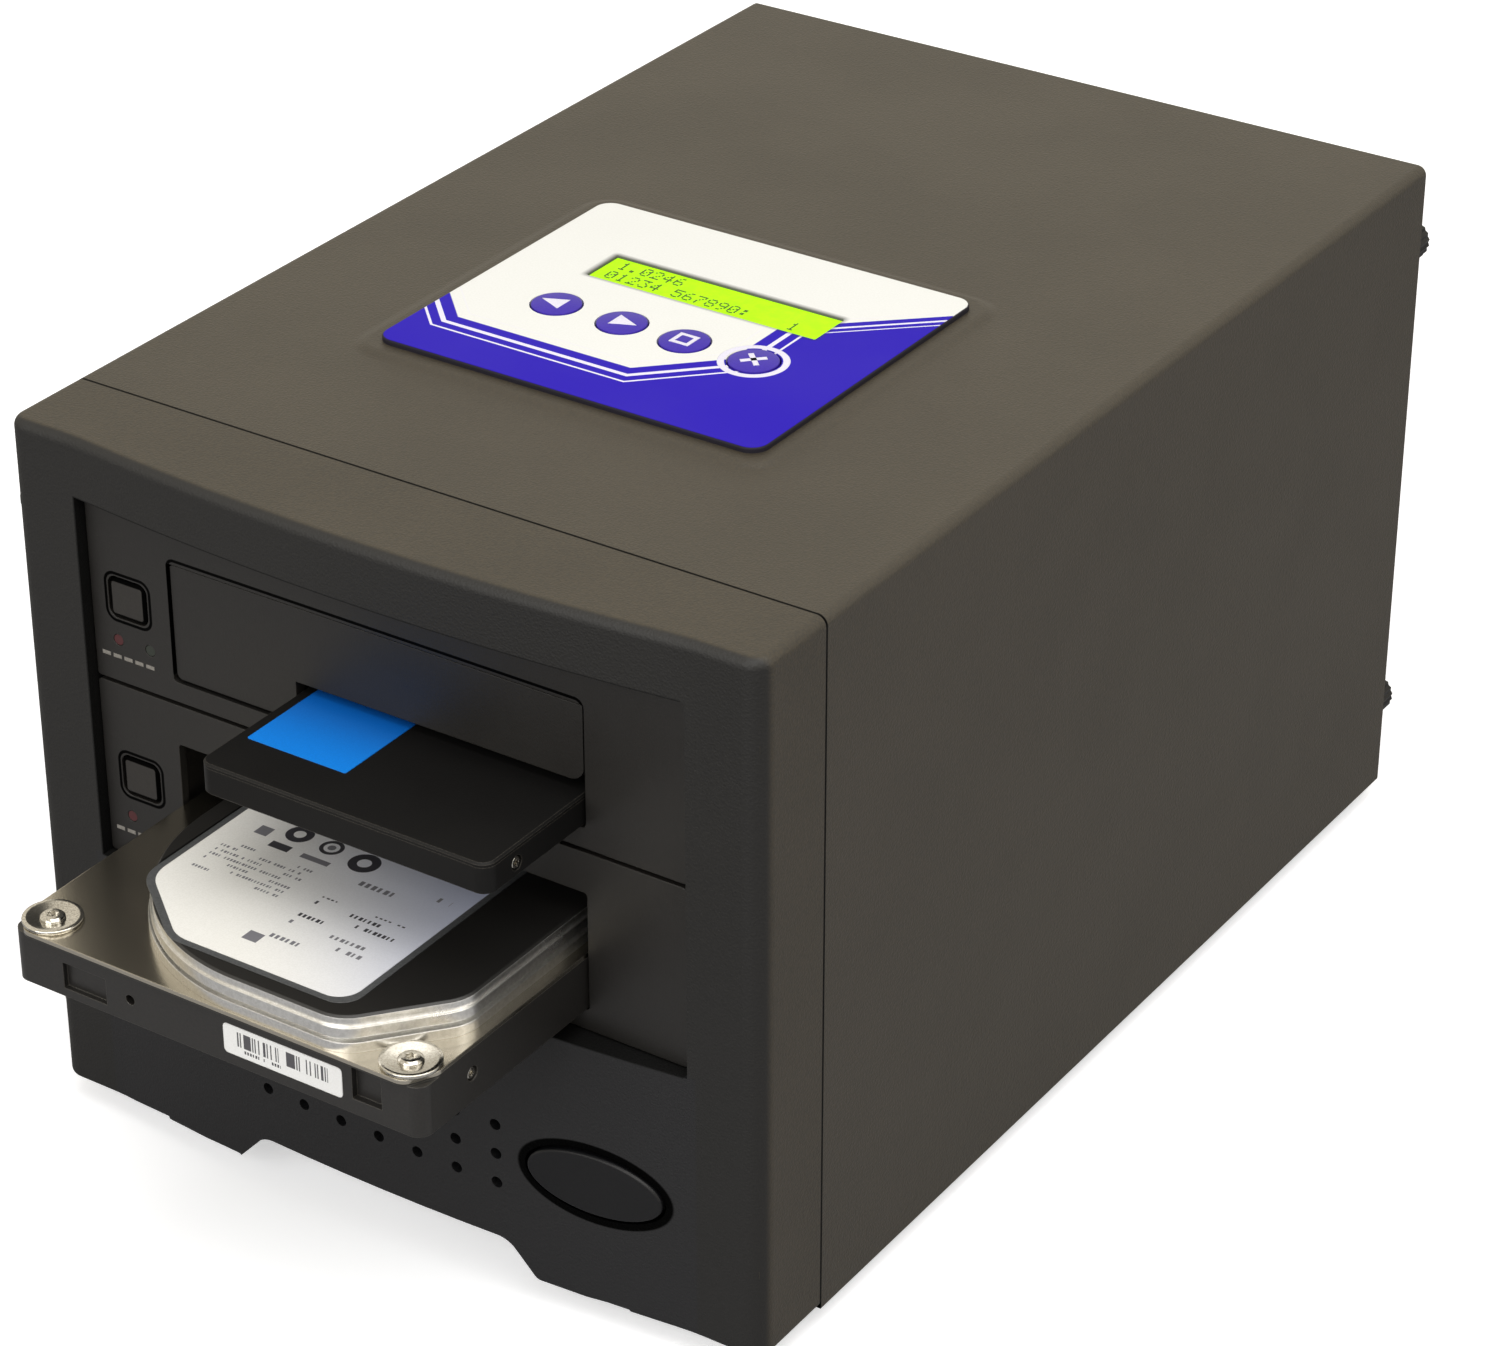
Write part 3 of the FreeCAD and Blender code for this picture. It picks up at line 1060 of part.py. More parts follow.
def label_outline(inset):
    """Plan of the drive's label, with its cut left corner."""
    left, right, front, rear, low = hdd_frame()
    x0, x1 = left + LABEL_LEFT + inset, right - LABEL_RIGHT - inset
    y0, y1 = front + LABEL_FRONT + inset, rear - LABEL_REAR - inset
    return [(x0, y1, LABEL_REAR_R), (x0, y0 + LABEL_CUT_Y, LABEL_CUT_R), (x0 + LABEL_CUT_X, y0, LABEL_CUT_R),
            (x1, y0, LABEL_FRONT_R), (x1, y1, LABEL_REAR_R)]


def hdd_label():
    """Paper label in the recess of the cover."""
    left, right, front, rear, low = hdd_frame()
    z = low + DRIVE_HEIGHT - LABEL_RECESS
    return prism("z", z, z + LABEL_THICK, label_outline(0))


def hdd_front_label():
    """Small label with bars on the front face of the casting."""
    left, right, front, rear, low = hdd_frame()
    face = front + BASE_SETBACK
    x = left + BAR_LABEL_X
    return prism("y", face - LABEL_THICK, face, rect(x, x + BAR_LABEL_WIDTH, low + BAR_LABEL_RISE,
                                                     low + BAR_LABEL_RISE + BAR_LABEL_HEIGHT, 1.0))


def hdd_screws():
    """Corner screws on the ears and set screws in the side holes."""
    left, right, front, rear, low = hdd_frame()
    z = low + BASE_HEIGHT
    screws = []
    for x in (left + DRIVE_SCREW_INSET, right - DRIVE_SCREW_INSET):
        head = rod("z", x, front + DRIVE_SCREW_INSET, z, z + DRIVE_SCREW_HEAD, DRIVE_SCREW_R)
        rim = [edge for edge in head.Edges if edge.BoundBox.ZMin > z + DRIVE_SCREW_HEAD - 0.01]
        screws.append(head.makeFillet(DRIVE_SCREW_ROUND, rim))
    hole_z = low + DRIVE_HOLE_RISE
    for y in DRIVE_HOLE_YS:
        radius = SIDE_HOLE_R - SCREW_FIT
        screws.append(rod("x", front + y, hole_z, left + SET_SCREW_SINK, left + SMALL_SCREW_DEPTH, radius))
        screws.append(rod("x", front + y, hole_z, right - SMALL_SCREW_DEPTH, right - SET_SCREW_SINK, radius))
    return group(screws)


def hdd_board():
    """Circuit board in the recess under the casting."""
    left, right, front, rear, low = hdd_frame()
    side, play = HDD_BOARD_SIDE + HDD_BOARD_PLAY, HDD_BOARD_PLAY
    return block(left + side, right - side, front + HDD_BOARD_FRONT + play, rear - HDD_BOARD_REAR - play,
                 low, low + BOARD)


def ssd_frame():
    """Left, right, front, rear and lower side of the 2.5 inch drive, part way into the upper rack."""
    right = SLOT_RIGHT - DRIVE_PLAY
    rear = Y_HOME - SSD_OUT
    return right - SSD_WIDTH, right, rear - SSD_LENGTH, rear, rack_z(1) + SLOT_FLOOR + DRIVE_LIFT


def ssd_outline():
    """Plan of the 2.5 inch drive."""
    left, right, front, rear, low = ssd_frame()
    return rect(left, right, front, rear, SSD_CORNER_R)


def ssd_case():
    """Lower shell of the 2.5 inch drive."""
    left, right, front, rear, low = ssd_frame()
    top = low + SSD_HEIGHT - SSD_LID
    shell = prism("z", low, top, ssd_outline())
    under = [edge for edge in shell.Edges if edge.BoundBox.ZMax < low + 0.01]
    shell = shell.makeChamfer(SSD_BEVEL, under)
    cuts = side_screw_holes(left, right, front, low + SSD_HOLE_RISE, SSD_HOLE_YS, SIDE_HOLE_R,
                            SIDE_HOLE_DEPTH)
    return shell.cut([plug_pocket(rack_z(1), rear)] + cuts)


def ssd_lid():
    """Lid of the 2.5 inch drive with a bevelled edge."""
    left, right, front, rear, low = ssd_frame()
    top = low + SSD_HEIGHT
    lid = prism("z", top - SSD_LID, top, ssd_outline())
    edges = [edge for edge in lid.Edges if edge.BoundBox.ZMin > top - 0.01]
    return lid.makeChamfer(SSD_BEVEL, edges).cut(plug_pocket(rack_z(1), rear))


def ssd_screws():
    """Set screws in the side holes of the 2.5 inch drive."""
    left, right, front, rear, low = ssd_frame()
    screws = []
    for y in SSD_HOLE_YS:
        z, radius = low + SSD_HOLE_RISE, SIDE_HOLE_R - SCREW_FIT
        screws.append(rod("x", front + y, z, left + SSD_SCREW_SINK, left + SMALL_SCREW_DEPTH, radius))
        screws.append(rod("x", front + y, z, right - SMALL_SCREW_DEPTH, right - SSD_SCREW_SINK, radius))
    return group(screws)


def ssd_sticker():
    """Coloured sticker near the front left corner of the lid."""
    left, right, front, rear, low = ssd_frame()
    x, y, z = left + STICKER_INSET, front + STICKER_SETBACK, low + SSD_HEIGHT
    return prism("z", z, z + STICKER_THICK, rect(x, x + STICKER_WIDTH, y, y + STICKER_LENGTH, STICKER_R))


# ---- Control panel ------------------------------------------------------------------------------------
def panel_plate():
    """Panel on the stamped platform, with the display window and four round key openings."""
    half_x, half_y = PANEL_WIDTH / 2, PANEL_LENGTH / 2
    plate = prism("z", PAD_TOP, PANEL_TOP, rect(PANEL_X - half_x, PANEL_X + half_x, PANEL_Y - half_y,
                                                PANEL_Y + half_y, PANEL_CORNER_R))
    rim = [edge for edge in plate.Edges if edge.BoundBox.ZMin > PANEL_TOP - 0.01]
    plate = plate.makeFillet(0.5, rim)
    window = prism("z", PAD_TOP - CUT, PANEL_TOP + CUT,
                   rect(LCD_X - LCD_WIDTH / 2, LCD_X + LCD_WIDTH / 2, LCD_Y - LCD_LENGTH / 2,
                        LCD_Y + LCD_LENGTH / 2, 0.4))
    holes = [rod("z", x, KEY_Y, PAD_TOP - CUT, PANEL_TOP + CUT, KEY_R + KEY_GAP) for x in KEY_XS]
    return plate.cut([window] + holes)


def lcd_module():
    """Display: metal frame with the glass just below the panel's window."""
    half_x = LCD_WIDTH / 2 + LCD_FRAME
    half_y = LCD_LENGTH / 2 + LCD_FRAME
    top = PAD_TOP - PANEL_SEAT
    frame = prism("z", PANEL_BOARD_TOP, top, rect(LCD_X - half_x, LCD_X + half_x, LCD_Y - half_y,
                                                  LCD_Y + half_y, 0.8))
    recess = block(LCD_X - LCD_WIDTH / 2 - 1, LCD_X + LCD_WIDTH / 2 + 1, LCD_Y - LCD_LENGTH / 2 - 1,
                   LCD_Y + LCD_LENGTH / 2 + 1, top - 0.5, top + CUT)
    return frame.cut(recess)


def panel_key(x):
    """Round key with a crowned top, a skirt under the panel and a stem."""
    skirt_top = PAD_TOP - PANEL_SEAT
    rim = PANEL_TOP + KEY_PROUD - KEY_CROWN
    crown_r = (KEY_R ** 2 + KEY_CROWN ** 2) / (2 * KEY_CROWN)
    ball = Part.makeSphere(crown_r, Vector(x, KEY_Y, PANEL_TOP + KEY_PROUD - crown_r))
    crown = ball.common(rod("z", x, KEY_Y, rim - 0.05, PANEL_TOP + KEY_PROUD + CUT, KEY_R))
    post = rod("z", x, KEY_Y, skirt_top - KEY_SKIRT_THICK, rim, KEY_R)
    skirt = rod("z", x, KEY_Y, skirt_top - KEY_SKIRT_THICK, skirt_top, KEY_R + KEY_GAP + KEY_SKIRT)
    stem = rod("z", x, KEY_Y, PANEL_BOARD_TOP + TACT_HEIGHT + KEY_TRAVEL + 0.5, skirt_top, KEY_STEM_R)
    return joined([crown, post, skirt, stem])


def panel_board():
    """Board under the panel on four posts, with a tact switch below each key."""
    half_x = PANEL_WIDTH / 2 - PANEL_HOLE_MARGIN + 2 * POST_R
    half_y = PANEL_LENGTH / 2 - PANEL_HOLE_MARGIN + 2 * POST_R
    board = block(PANEL_X - half_x, PANEL_X + half_x, PANEL_Y - half_y, PANEL_Y + half_y,
                  PANEL_BOARD_TOP - BOARD, PANEL_BOARD_TOP)
    posts = [rod("z", PANEL_X + sx * (half_x - POST_R), PANEL_Y + sy * (half_y - POST_R), PANEL_BOARD_TOP - BOARD,
                 PAD_TOP - SHEET, POST_R) for sx in (-1, 1) for sy in (-1, 1)]
    switches = []
    for x in KEY_XS:
        switches.append(block(x - TACT / 2, x + TACT / 2, KEY_Y - TACT / 2, KEY_Y + TACT / 2, PANEL_BOARD_TOP,
                              PANEL_BOARD_TOP + TACT_HEIGHT))
        switches.append(rod("z", x, KEY_Y, PANEL_BOARD_TOP, PANEL_BOARD_TOP + TACT_HEIGHT + 0.3, TACT_PLUNGER_R))
    return joined([board] + posts + switches)


# ---- Controller board ---------------------------------------------------------------------------------
def controller_board():
    """Main board on the chassis floor with its row of data connectors and the main chip."""
    half = CONTROLLER_WIDTH / 2
    y0 = Y_WALL + CONTROLLER_FRONT
    z = Z_FLOOR + STANDOFF
    board = block(RACK_SHIFT - half, RACK_SHIFT + half, y0, y0 + CONTROLLER_LENGTH, z, z + BOARD)
    holes = [rod("z", x, y, z - CUT, z + BOARD + CUT, SCREW_R + SCREW_FIT) for x, y in standoff_places()]
    top = z + BOARD
    parts = [board]
    for i in range(PORT_COUNT):
        x = -half + 14 + i * PORT_PITCH
        parts.append(block(x, x + PORT_WIDTH, y0 + CONTROLLER_LENGTH - PORT_LENGTH - 4,
                           y0 + CONTROLLER_LENGTH - 4, top, top + PORT_HEIGHT))
    middle = y0 + CONTROLLER_LENGTH / 2
    parts.append(block(HEATSINK_X - CHIP / 2, HEATSINK_X + CHIP / 2, middle - CHIP / 2, middle + CHIP / 2,
                       top, top + CHIP_HEIGHT))
    return joined(parts).cut(holes)


def heatsink():
    """Finned aluminium block on the main chip."""
    y = Y_WALL + CONTROLLER_FRONT + CONTROLLER_LENGTH / 2
    z = Z_FLOOR + STANDOFF + BOARD + CHIP_HEIGHT
    half = HEATSINK / 2
    parts = [block(HEATSINK_X - half, HEATSINK_X + half, y - half, y + half, z, z + HEATSINK_BASE)]
    for i in range(HEATSINK_FINS):
        x = HEATSINK_X - half + i * (HEATSINK - HEATSINK_FIN) / (HEATSINK_FINS - 1)
        parts.append(block(x, x + HEATSINK_FIN, y - half, y + half, z, z + HEATSINK_HEIGHT))
    return joined(parts)


def board_standoffs():
    """Posts under the main board, each with its screw pin through the floor."""
    posts = []
    for x, y in standoff_places():
        post = rod("z", x, y, Z_FLOOR, Z_FLOOR + STANDOFF, STANDOFF_R)
        pin = rod("z", x, y, Z_BASE, Z_FLOOR + STANDOFF + BOARD + 1.0, SCREW_R)
        posts.append(joined([post, pin]))
    return group(posts)


# ---- Power supply -------------------------------------------------------------------------------------
def psu_screws():
    """Supply fixing screws as (x, z)."""
    edge = PSU_FRAME / 2 + 0.4
    return [(PSU_LEFT + edge, Z_FLOOR + edge), (PSU_LEFT + PSU_WIDTH - edge, Z_FLOOR + edge),
            (PSU_LEFT + edge, Z_FLOOR + PSU_HEIGHT - edge), (PSU_LEFT + PSU_WIDTH - edge, Z_FLOOR + PSU_HEIGHT - edge)]


def inlet_outline(grow):
    """Outline of the mains inlet: a rectangle with two cut upper corners."""
    x, z = PSU_LEFT + INLET_X, Z_FLOOR + INLET_Z
    half_x, half_z = INLET_WIDTH / 2 + grow, INLET_HEIGHT / 2 + grow
    cut = INLET_CHAMFER
    return [(x - half_x, z - half_z, 0.8), (x + half_x, z - half_z, 0.8), (x + half_x, z + half_z - cut, 0.8),
            (x + half_x - cut, z + half_z, 0.8), (x - half_x + cut, z + half_z, 0.8),
            (x - half_x, z + half_z - cut, 0.8)]


def psu_case():
    """Sheet supply case with air slots, a fan duct with its grille, an inlet pocket and a switch pocket."""
    y0, y1 = Y_BACK - PSU_LENGTH, Y_BACK
    body = prism("y", y0, y1, rect(PSU_LEFT, PSU_LEFT + PSU_WIDTH, Z_FLOOR, Z_FLOOR + PSU_HEIGHT, PSU_EDGE_R))
    x, z = PSU_LEFT + FAN40_X, Z_FLOOR + PSU_HEIGHT / 2
    duct = rod("y", x, z, y1 - FAN40_DEPTH, y1 + CUT, FAN40_R + BLADE_GAP)
    inlet = prism("y", y1 - INLET_DEPTH - INLET_FIT, y1 + CUT, inlet_outline(INLET_FIT))
    inside = block(PSU_LEFT + SHEET, PSU_LEFT + PSU_WIDTH - SHEET, y0 + SHEET, y1 - INLET_DEPTH - 2 * SHEET,
                   Z_FLOOR + SHEET, Z_FLOOR + PSU_HEIGHT - SHEET)
    slots = []
    for i in range(PSU_SLOTS):
        slot_x = PSU_LEFT + PSU_WIDTH * (i + 0.5) / PSU_SLOTS
        slots.append(prism("y", y0 - CUT, y0 + SHEET + CUT, rect(slot_x - 1.5, slot_x + 1.5, Z_FLOOR + 8,
                                                                 Z_FLOOR + PSU_HEIGHT - 8, 1.49)))
    rocker_x, rocker_z = PSU_LEFT + INLET_X, Z_FLOOR + ROCKER_Z
    half_x, half_z = ROCKER_WIDTH / 2 + ROCKER_FRAME + INLET_FIT, ROCKER_HEIGHT / 2 + ROCKER_GAP + INLET_FIT
    pocket = block(rocker_x - half_x, rocker_x + half_x, y1 - ROCKER_DEPTH, y1 + CUT, rocker_z - half_z,
                   rocker_z + half_z)
    holes = [rod("y", sx, sz, y1 - SCREW_LENGTH, y1 + CUT, SCREW_R + SCREW_FIT) for sx, sz in psu_screws()]
    stub = rod("y", x, z, y1 - FAN40_DEPTH - CUT, y1 - FAN_CAP - 3 * BLADE_GAP, AXLE_R)
    rings = [tube("y", x, z, y1 - 1.0, y1, radius + 0.6, radius - 0.6) for radius in (6.0, 11.0, 16.0)]
    outer = FAN40_R + BLADE_GAP + 0.3
    arms = [block(x - outer, x + outer, y1 - 1.0, y1, z - 0.6, z + 0.6),
            block(x - 0.6, x + 0.6, y1 - 1.0, y1, z - outer, z + outer)]
    return joined([body.cut([duct, inlet, pocket, inside] + holes + slots), stub] + rings + arms)


def psu_inlet():
    """Mains inlet: flanged housing with an open mouth and three flat pins."""
    x, z = PSU_LEFT + INLET_X, Z_FLOOR + INLET_Z
    housing = prism("y", Y_BACK - INLET_DEPTH, Y_BACK + INLET_LIP, inlet_outline(0))
    lip = prism("y", Y_BACK, Y_BACK + INLET_LIP, inlet_outline(INLET_LIP_WIDTH))
    mouth_floor = Y_BACK + INLET_LIP - INLET_CAVITY
    mouth = prism("y", mouth_floor, Y_BACK + INLET_LIP + CUT, inlet_outline(-INLET_WALL))
    pins = []
    for dx, dz in ((-1, -1), (0, 1), (1, -1)):
        px, pz = x + dx * INLET_PIN_PITCH, z + dz * INLET_PIN_RISE
        pins.append(block(px - INLET_PIN_THICK / 2, px + INLET_PIN_THICK / 2, mouth_floor - CUT,
                          Y_BACK + INLET_LIP - 3.0, pz - INLET_PIN_HEIGHT / 2, pz + INLET_PIN_HEIGHT / 2))
    return joined([joined([housing, lip]).cut(mouth)] + pins)


def rocker_axis():
    """Middle of the switch's axle as (x, y, z)."""
    return PSU_LEFT + INLET_X, Y_BACK - ROCKER_AXIS_DEPTH, Z_FLOOR + ROCKER_Z


def psu_switch_frame():
    """Housing of the mains switch, with the axle that carries the rocker."""
    x, y, z = rocker_axis()
    half_x, half_z = ROCKER_WIDTH / 2 + ROCKER_FRAME, ROCKER_HEIGHT / 2 + ROCKER_GAP
    body = block(x - half_x, x + half_x, Y_BACK - ROCKER_DEPTH + INLET_FIT, Y_BACK + SHEET, z - half_z, z + half_z)
    hollow = block(x - half_x + ROCKER_FRAME - ROCKER_GAP, x + half_x - ROCKER_FRAME + ROCKER_GAP,
                   Y_BACK - ROCKER_DEPTH + 1.0, Y_REAR, z - half_z + 0.01, z + half_z - 0.01)
    cheeks = [block(x - half_x, x + half_x, Y_BACK, Y_BACK + SHEET, z + s * (half_z + 0.6) - 0.6,
                    z + s * (half_z + 0.6) + 0.6) for s in (-1, 1)]
    rear_wall = block(x - half_x, x + half_x, Y_BACK - ROCKER_DEPTH + INLET_FIT, Y_BACK - ROCKER_DEPTH + 1.1,
                      z - half_z, z + half_z)
    walls = [block(x - half_x, x + half_x, Y_BACK - ROCKER_DEPTH + INLET_FIT, Y_BACK + SHEET,
                   z + s * half_z - (s + 1) / 2 * 0.3, z + s * half_z + (1 - s) / 2 * 0.3) for s in (-1, 1)]
    axle = rod("z", x, y, z - half_z, z + half_z, ROCKER_PIN_R)
    return joined([body.cut(hollow), rear_wall, axle] + walls + cheeks)


def psu_rocker():
    """Rocker with a shallow V front, tilted to its off position on the axle."""
    x, y, z = rocker_axis()
    half_x, half_z = ROCKER_WIDTH / 2 - ROCKER_GAP, ROCKER_HEIGHT / 2 - 0.2
    front = Y_BACK + SHEET + 1.6
    dip = front - half_x * math.tan(math.radians(ROCKER_TILT))
    paddle = prism("z", z - half_z, z + half_z, [(x - half_x, y + 1.0, 0.3), (x, y - 2.2, 1.0),
                                                 (x + half_x, y + 1.0, 0.3), (x + half_x, front, 0.5),
                                                 (x, dip, 1.0), (x - half_x, front, 0.5)])
    paddle = paddle.cut(rod("z", x, y, z - half_z - CUT, z + half_z + CUT, ROCKER_PIN_R + AXLE_FIT))
    paddle.rotate(Vector(x, y, z), Vector(0, 0, 1), -ROCKER_TILT)
    return paddle


# ---- Fans ---------------------------------------------------------------------------------------------
def blade(x, z, y0, y1, inner, outer, start):
    """Twisted fan blade lofted along the axle."""
    wires = []
    steps = 3
    for i in range(steps + 1):
        share = i / steps
        angle = math.radians(start + BLADE_TURN * share)
        across = Vector(math.cos(angle), 0, math.sin(angle))
        side = Vector(-math.sin(angle), 0, math.cos(angle)) * (BLADE_THICK / 2)
        middle = Vector(x, y0 + (y1 - y0) * share, z)
        points = [middle + across * inner - side, middle + across * outer - side,
                  middle + across * outer + side, middle + across * inner + side]
        wires.append(Part.makePolygon(points + [points[0]]))
    return Part.makeLoft(wires, True, True)


def fan_rotor(x, z, y0, y1, hub, tip):
    """Hub cup with twisted blades and a running bore for the axle."""
    parts = [rod("y", x, z, y0, y1, hub)]
    parts += [blade(x, z, y0 + 0.8, y1 - 0.8, hub - 1.0, tip, 360.0 / FAN_BLADES * i) for i in range(FAN_BLADES)]
    return joined(parts).cut(rod("y", x, z, y0 - CUT, y1 - FAN_CAP, AXLE_R + AXLE_FIT))


def psu_fan_rotor():
    """Small rotor in the supply's duct."""
    x, z = PSU_LEFT + FAN40_X, Z_FLOOR + PSU_HEIGHT / 2
    return fan_rotor(x, z, Y_BACK - FAN40_DEPTH + BLADE_GAP, Y_BACK - 1.0 - BLADE_GAP, 8.0, FAN40_R)


def rear_fan_frame():
    """Square frame with a round duct, corner flanges, a motor plate on four arms and the axle."""
    y0, y1 = Y_BACK - FAN_DEPTH, Y_BACK
    half = FAN_SIZE / 2
    square = rect(FAN_X - half, FAN_X + half, FAN_Z - half, FAN_Z + half, FAN_CORNER_R)
    body = prism("y", y0, y1, square)
    corners = []
    for sx in (-1, 1):
        for sz in (-1, 1):
            x, z = FAN_X + sx * half, FAN_Z + sz * half
            xs, zs = sorted((x, x - sx * 13.0)), sorted((z, z - sz * 13.0))
            gap = block(xs[0] - CUT, xs[1] + CUT, y0 + FAN_FLANGE, y1 - FAN_FLANGE, zs[0] - CUT, zs[1] + CUT)
            corners.append(gap.cut(rod("y", FAN_X, FAN_Z, y0, y1, FAN_BORE_R + 1.6)))
    duct = rod("y", FAN_X, FAN_Z, y0 - CUT, y1 + CUT, FAN_BORE_R)
    holes = [rod("y", x, z, y0 - CUT, y1 + CUT, SCREW_R + SCREW_FIT) for x, z in fan_holes()]
    plate = rod("y", FAN_X, FAN_Z, y0, y0 + SPIDER_THICK, FAN_HUB_R)
    reach = FAN_BORE_R + 0.5
    arms = [block(FAN_X - reach, FAN_X + reach, y0, y0 + SPIDER_THICK, FAN_Z - SPIDER_ARM / 2, FAN_Z + SPIDER_ARM / 2),
            block(FAN_X - SPIDER_ARM / 2, FAN_X + SPIDER_ARM / 2, y0, y0 + SPIDER_THICK, FAN_Z - reach, FAN_Z + reach)]
    axle = rod("y", FAN_X, FAN_Z, y0, y1 - 6.0, AXLE_R)
    return joined([body.cut([duct] + corners + holes), plate, axle] + arms)


def rear_fan_rotor():
    """Rotor of the rear fan."""
    return fan_rotor(FAN_X, FAN_Z, Y_BACK - FAN_DEPTH + SPIDER_THICK + SPIDER_HUB_GAP, Y_BACK - 1.5, FAN_HUB_R,
                     FAN_BORE_R - FAN_TIP_GAP)


def rear_fan_guard():
    """Wire guard over the fan opening: rings on two cross wires with flat eyes at the screws."""
    back = Y_REAR - SHEET
    wire_y = back + GUARD_WIRE_R
    ring_y = wire_y + 2 * GUARD_WIRE_R - GUARD_WELD
    parts = []
    for i in range(GUARD_RINGS):
        radius = FAN_BORE_R * (i + 1) / GUARD_RINGS - 2.0
        parts.append(Part.makeTorus(radius, GUARD_WIRE_R, Vector(FAN_X, ring_y, FAN_Z), Vector(0, 1, 0)))
    diagonal = math.hypot(FAN_HOLE_PITCH, FAN_HOLE_PITCH) / 2 - 2.0
    for angle in (45, 135):
        direction = Vector(math.cos(math.radians(angle)), 0, math.sin(math.radians(angle)))
        start = Vector(FAN_X, wire_y, FAN_Z) - direction * diagonal
        parts.append(Part.makeCylinder(GUARD_WIRE_R, 2 * diagonal, start, direction))
    for x, z in fan_holes():
        parts.append(tube("y", x, z, back, back + 2 * GUARD_WIRE_R, SCREW_HEAD_R + 0.4, SCREW_R + SCREW_FIT))
    return parts[0].fuse(parts[1:])


def rear_screws():
    """Screws of the rear fan and of the power supply."""
    back = Y_REAR - SHEET
    screws = [screw("y", x, z, back + 2 * GUARD_WIRE_R, -1, 2 * GUARD_WIRE_R + SHEET + GUARD_SCREW_REACH) for x, z in fan_holes()]
    screws += [screw("y", x, z, back, -1, SCREW_LENGTH) for x, z in psu_screws()]
    return group(screws)


# ---- Assembly -----------------------------------------------------------------------------------------
def rack_z(index):
    """Lower edge of a rack's face; index 0 is the lower rack."""
    return BAY_FLOOR + BAY_MARGIN_Z + index * BAY_PITCH


def rack_nodes(name, index, door_angle):
    """All nodes of one rack."""
    z0 = rack_z(index)
    return {
        name + "_rack_faceplate": rack_faceplate(z0),
        name + "_rack_body": rack_body(z0),
        name + "_rack_door": swung(closed_door(z0), z0, door_angle),
        name + "_door_spring": swung(door_spring(z0), z0, door_angle),
        name + "_door_pin": door_pin(z0),
        name + "_rack_button": rack_button(z0),
        name + "_lamp_board": lamp_board(z0),
        name + "_backplane": rack_backplane(z0),
        name + "_socket": rack_socket(z0),
    }


def all_nodes():
    """Every node of the duplicator by name."""
    nodes = {
        "front_bezel": front_bezel(), "power_button": power_button(), "power_switch": power_switch(),
        "chassis": chassis(), "top_cover": top_cover(), "cover_thumbscrews": cover_thumbscrews(),
        "rubber_feet": rubber_feet(), "foot_screws": foot_screws(),
        "cage_left": cage_plate(-1), "cage_right": cage_plate(1), "rack_screws": rack_screws(),
        "hdd_base": hdd_base(), "hdd_cover": hdd_cover(), "hdd_label": hdd_label(),
        "hdd_front_label": hdd_front_label(), "hdd_screws": hdd_screws(), "hdd_board": hdd_board(),
        "hdd_plug": drive_plug(rack_z(0), hdd_frame()[3]),
        "ssd_case": ssd_case(), "ssd_lid": ssd_lid(), "ssd_screws": ssd_screws(), "ssd_sticker": ssd_sticker(),
        "ssd_plug": drive_plug(rack_z(1), ssd_frame()[3]),
        "panel_plate": panel_plate(), "lcd_module": lcd_module(), "panel_board": panel_board(),
        "controller_board": controller_board(), "heatsink": heatsink(), "board_standoffs": board_standoffs(),
        "psu_case": psu_case(), "psu_inlet": psu_inlet(), "psu_switch_frame": psu_switch_frame(),
        "psu_rocker": psu_rocker(), "psu_fan_rotor": psu_fan_rotor(),
        "rear_fan_frame": rear_fan_frame(), "rear_fan_rotor": rear_fan_rotor(),
        "rear_fan_guard": rear_fan_guard(), "rear_screws": rear_screws(),
    }
    for name, x in zip(("key_left", "key_right", "key_enter", "key_cancel"), KEY_XS):
        nodes[name] = panel_key(x)
    nodes.update(rack_nodes("lower", 0, held_up_angle()))
    nodes.update(rack_nodes("upper", 1, 0.0))
    return nodes


os.makedirs("parts", exist_ok=True)
for node, shape in all_nodes().items():
    shape.exportStep("parts/" + node + ".step")
    print(node, len(shape.Solids), "solids", "valid" if shape.isValid() else "NOT VALID", round(shape.Volume, 1))
print("lower door stands at", round(held_up_angle(), 2), "degrees")
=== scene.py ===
"""Dresses the desktop drive duplicator: finishes for every moulded, painted and bare part, and the fine
pieces that its frame leaves out, such as display characters, key marks, printed labels and screw drives."""

import logging
import math
from contextlib import contextmanager
from dataclasses import dataclass, field
from enum import Enum
from typing import Callable, ClassVar, Iterator, Sequence

import bmesh
import bpy
from mathutils import Matrix, Vector


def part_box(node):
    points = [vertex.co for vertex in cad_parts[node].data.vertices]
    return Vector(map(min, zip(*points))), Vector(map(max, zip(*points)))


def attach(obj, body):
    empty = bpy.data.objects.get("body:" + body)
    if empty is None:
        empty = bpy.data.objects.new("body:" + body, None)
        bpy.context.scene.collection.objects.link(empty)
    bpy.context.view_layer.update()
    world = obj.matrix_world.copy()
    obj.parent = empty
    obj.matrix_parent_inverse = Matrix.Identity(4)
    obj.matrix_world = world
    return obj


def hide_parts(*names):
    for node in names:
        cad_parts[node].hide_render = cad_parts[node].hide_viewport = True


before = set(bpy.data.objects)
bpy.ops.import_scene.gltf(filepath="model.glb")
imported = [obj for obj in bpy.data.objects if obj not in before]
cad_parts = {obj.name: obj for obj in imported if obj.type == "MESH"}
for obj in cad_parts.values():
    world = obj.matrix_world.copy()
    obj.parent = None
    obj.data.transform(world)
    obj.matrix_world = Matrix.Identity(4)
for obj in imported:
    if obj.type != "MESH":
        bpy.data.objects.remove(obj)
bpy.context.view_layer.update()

MM = 0.001
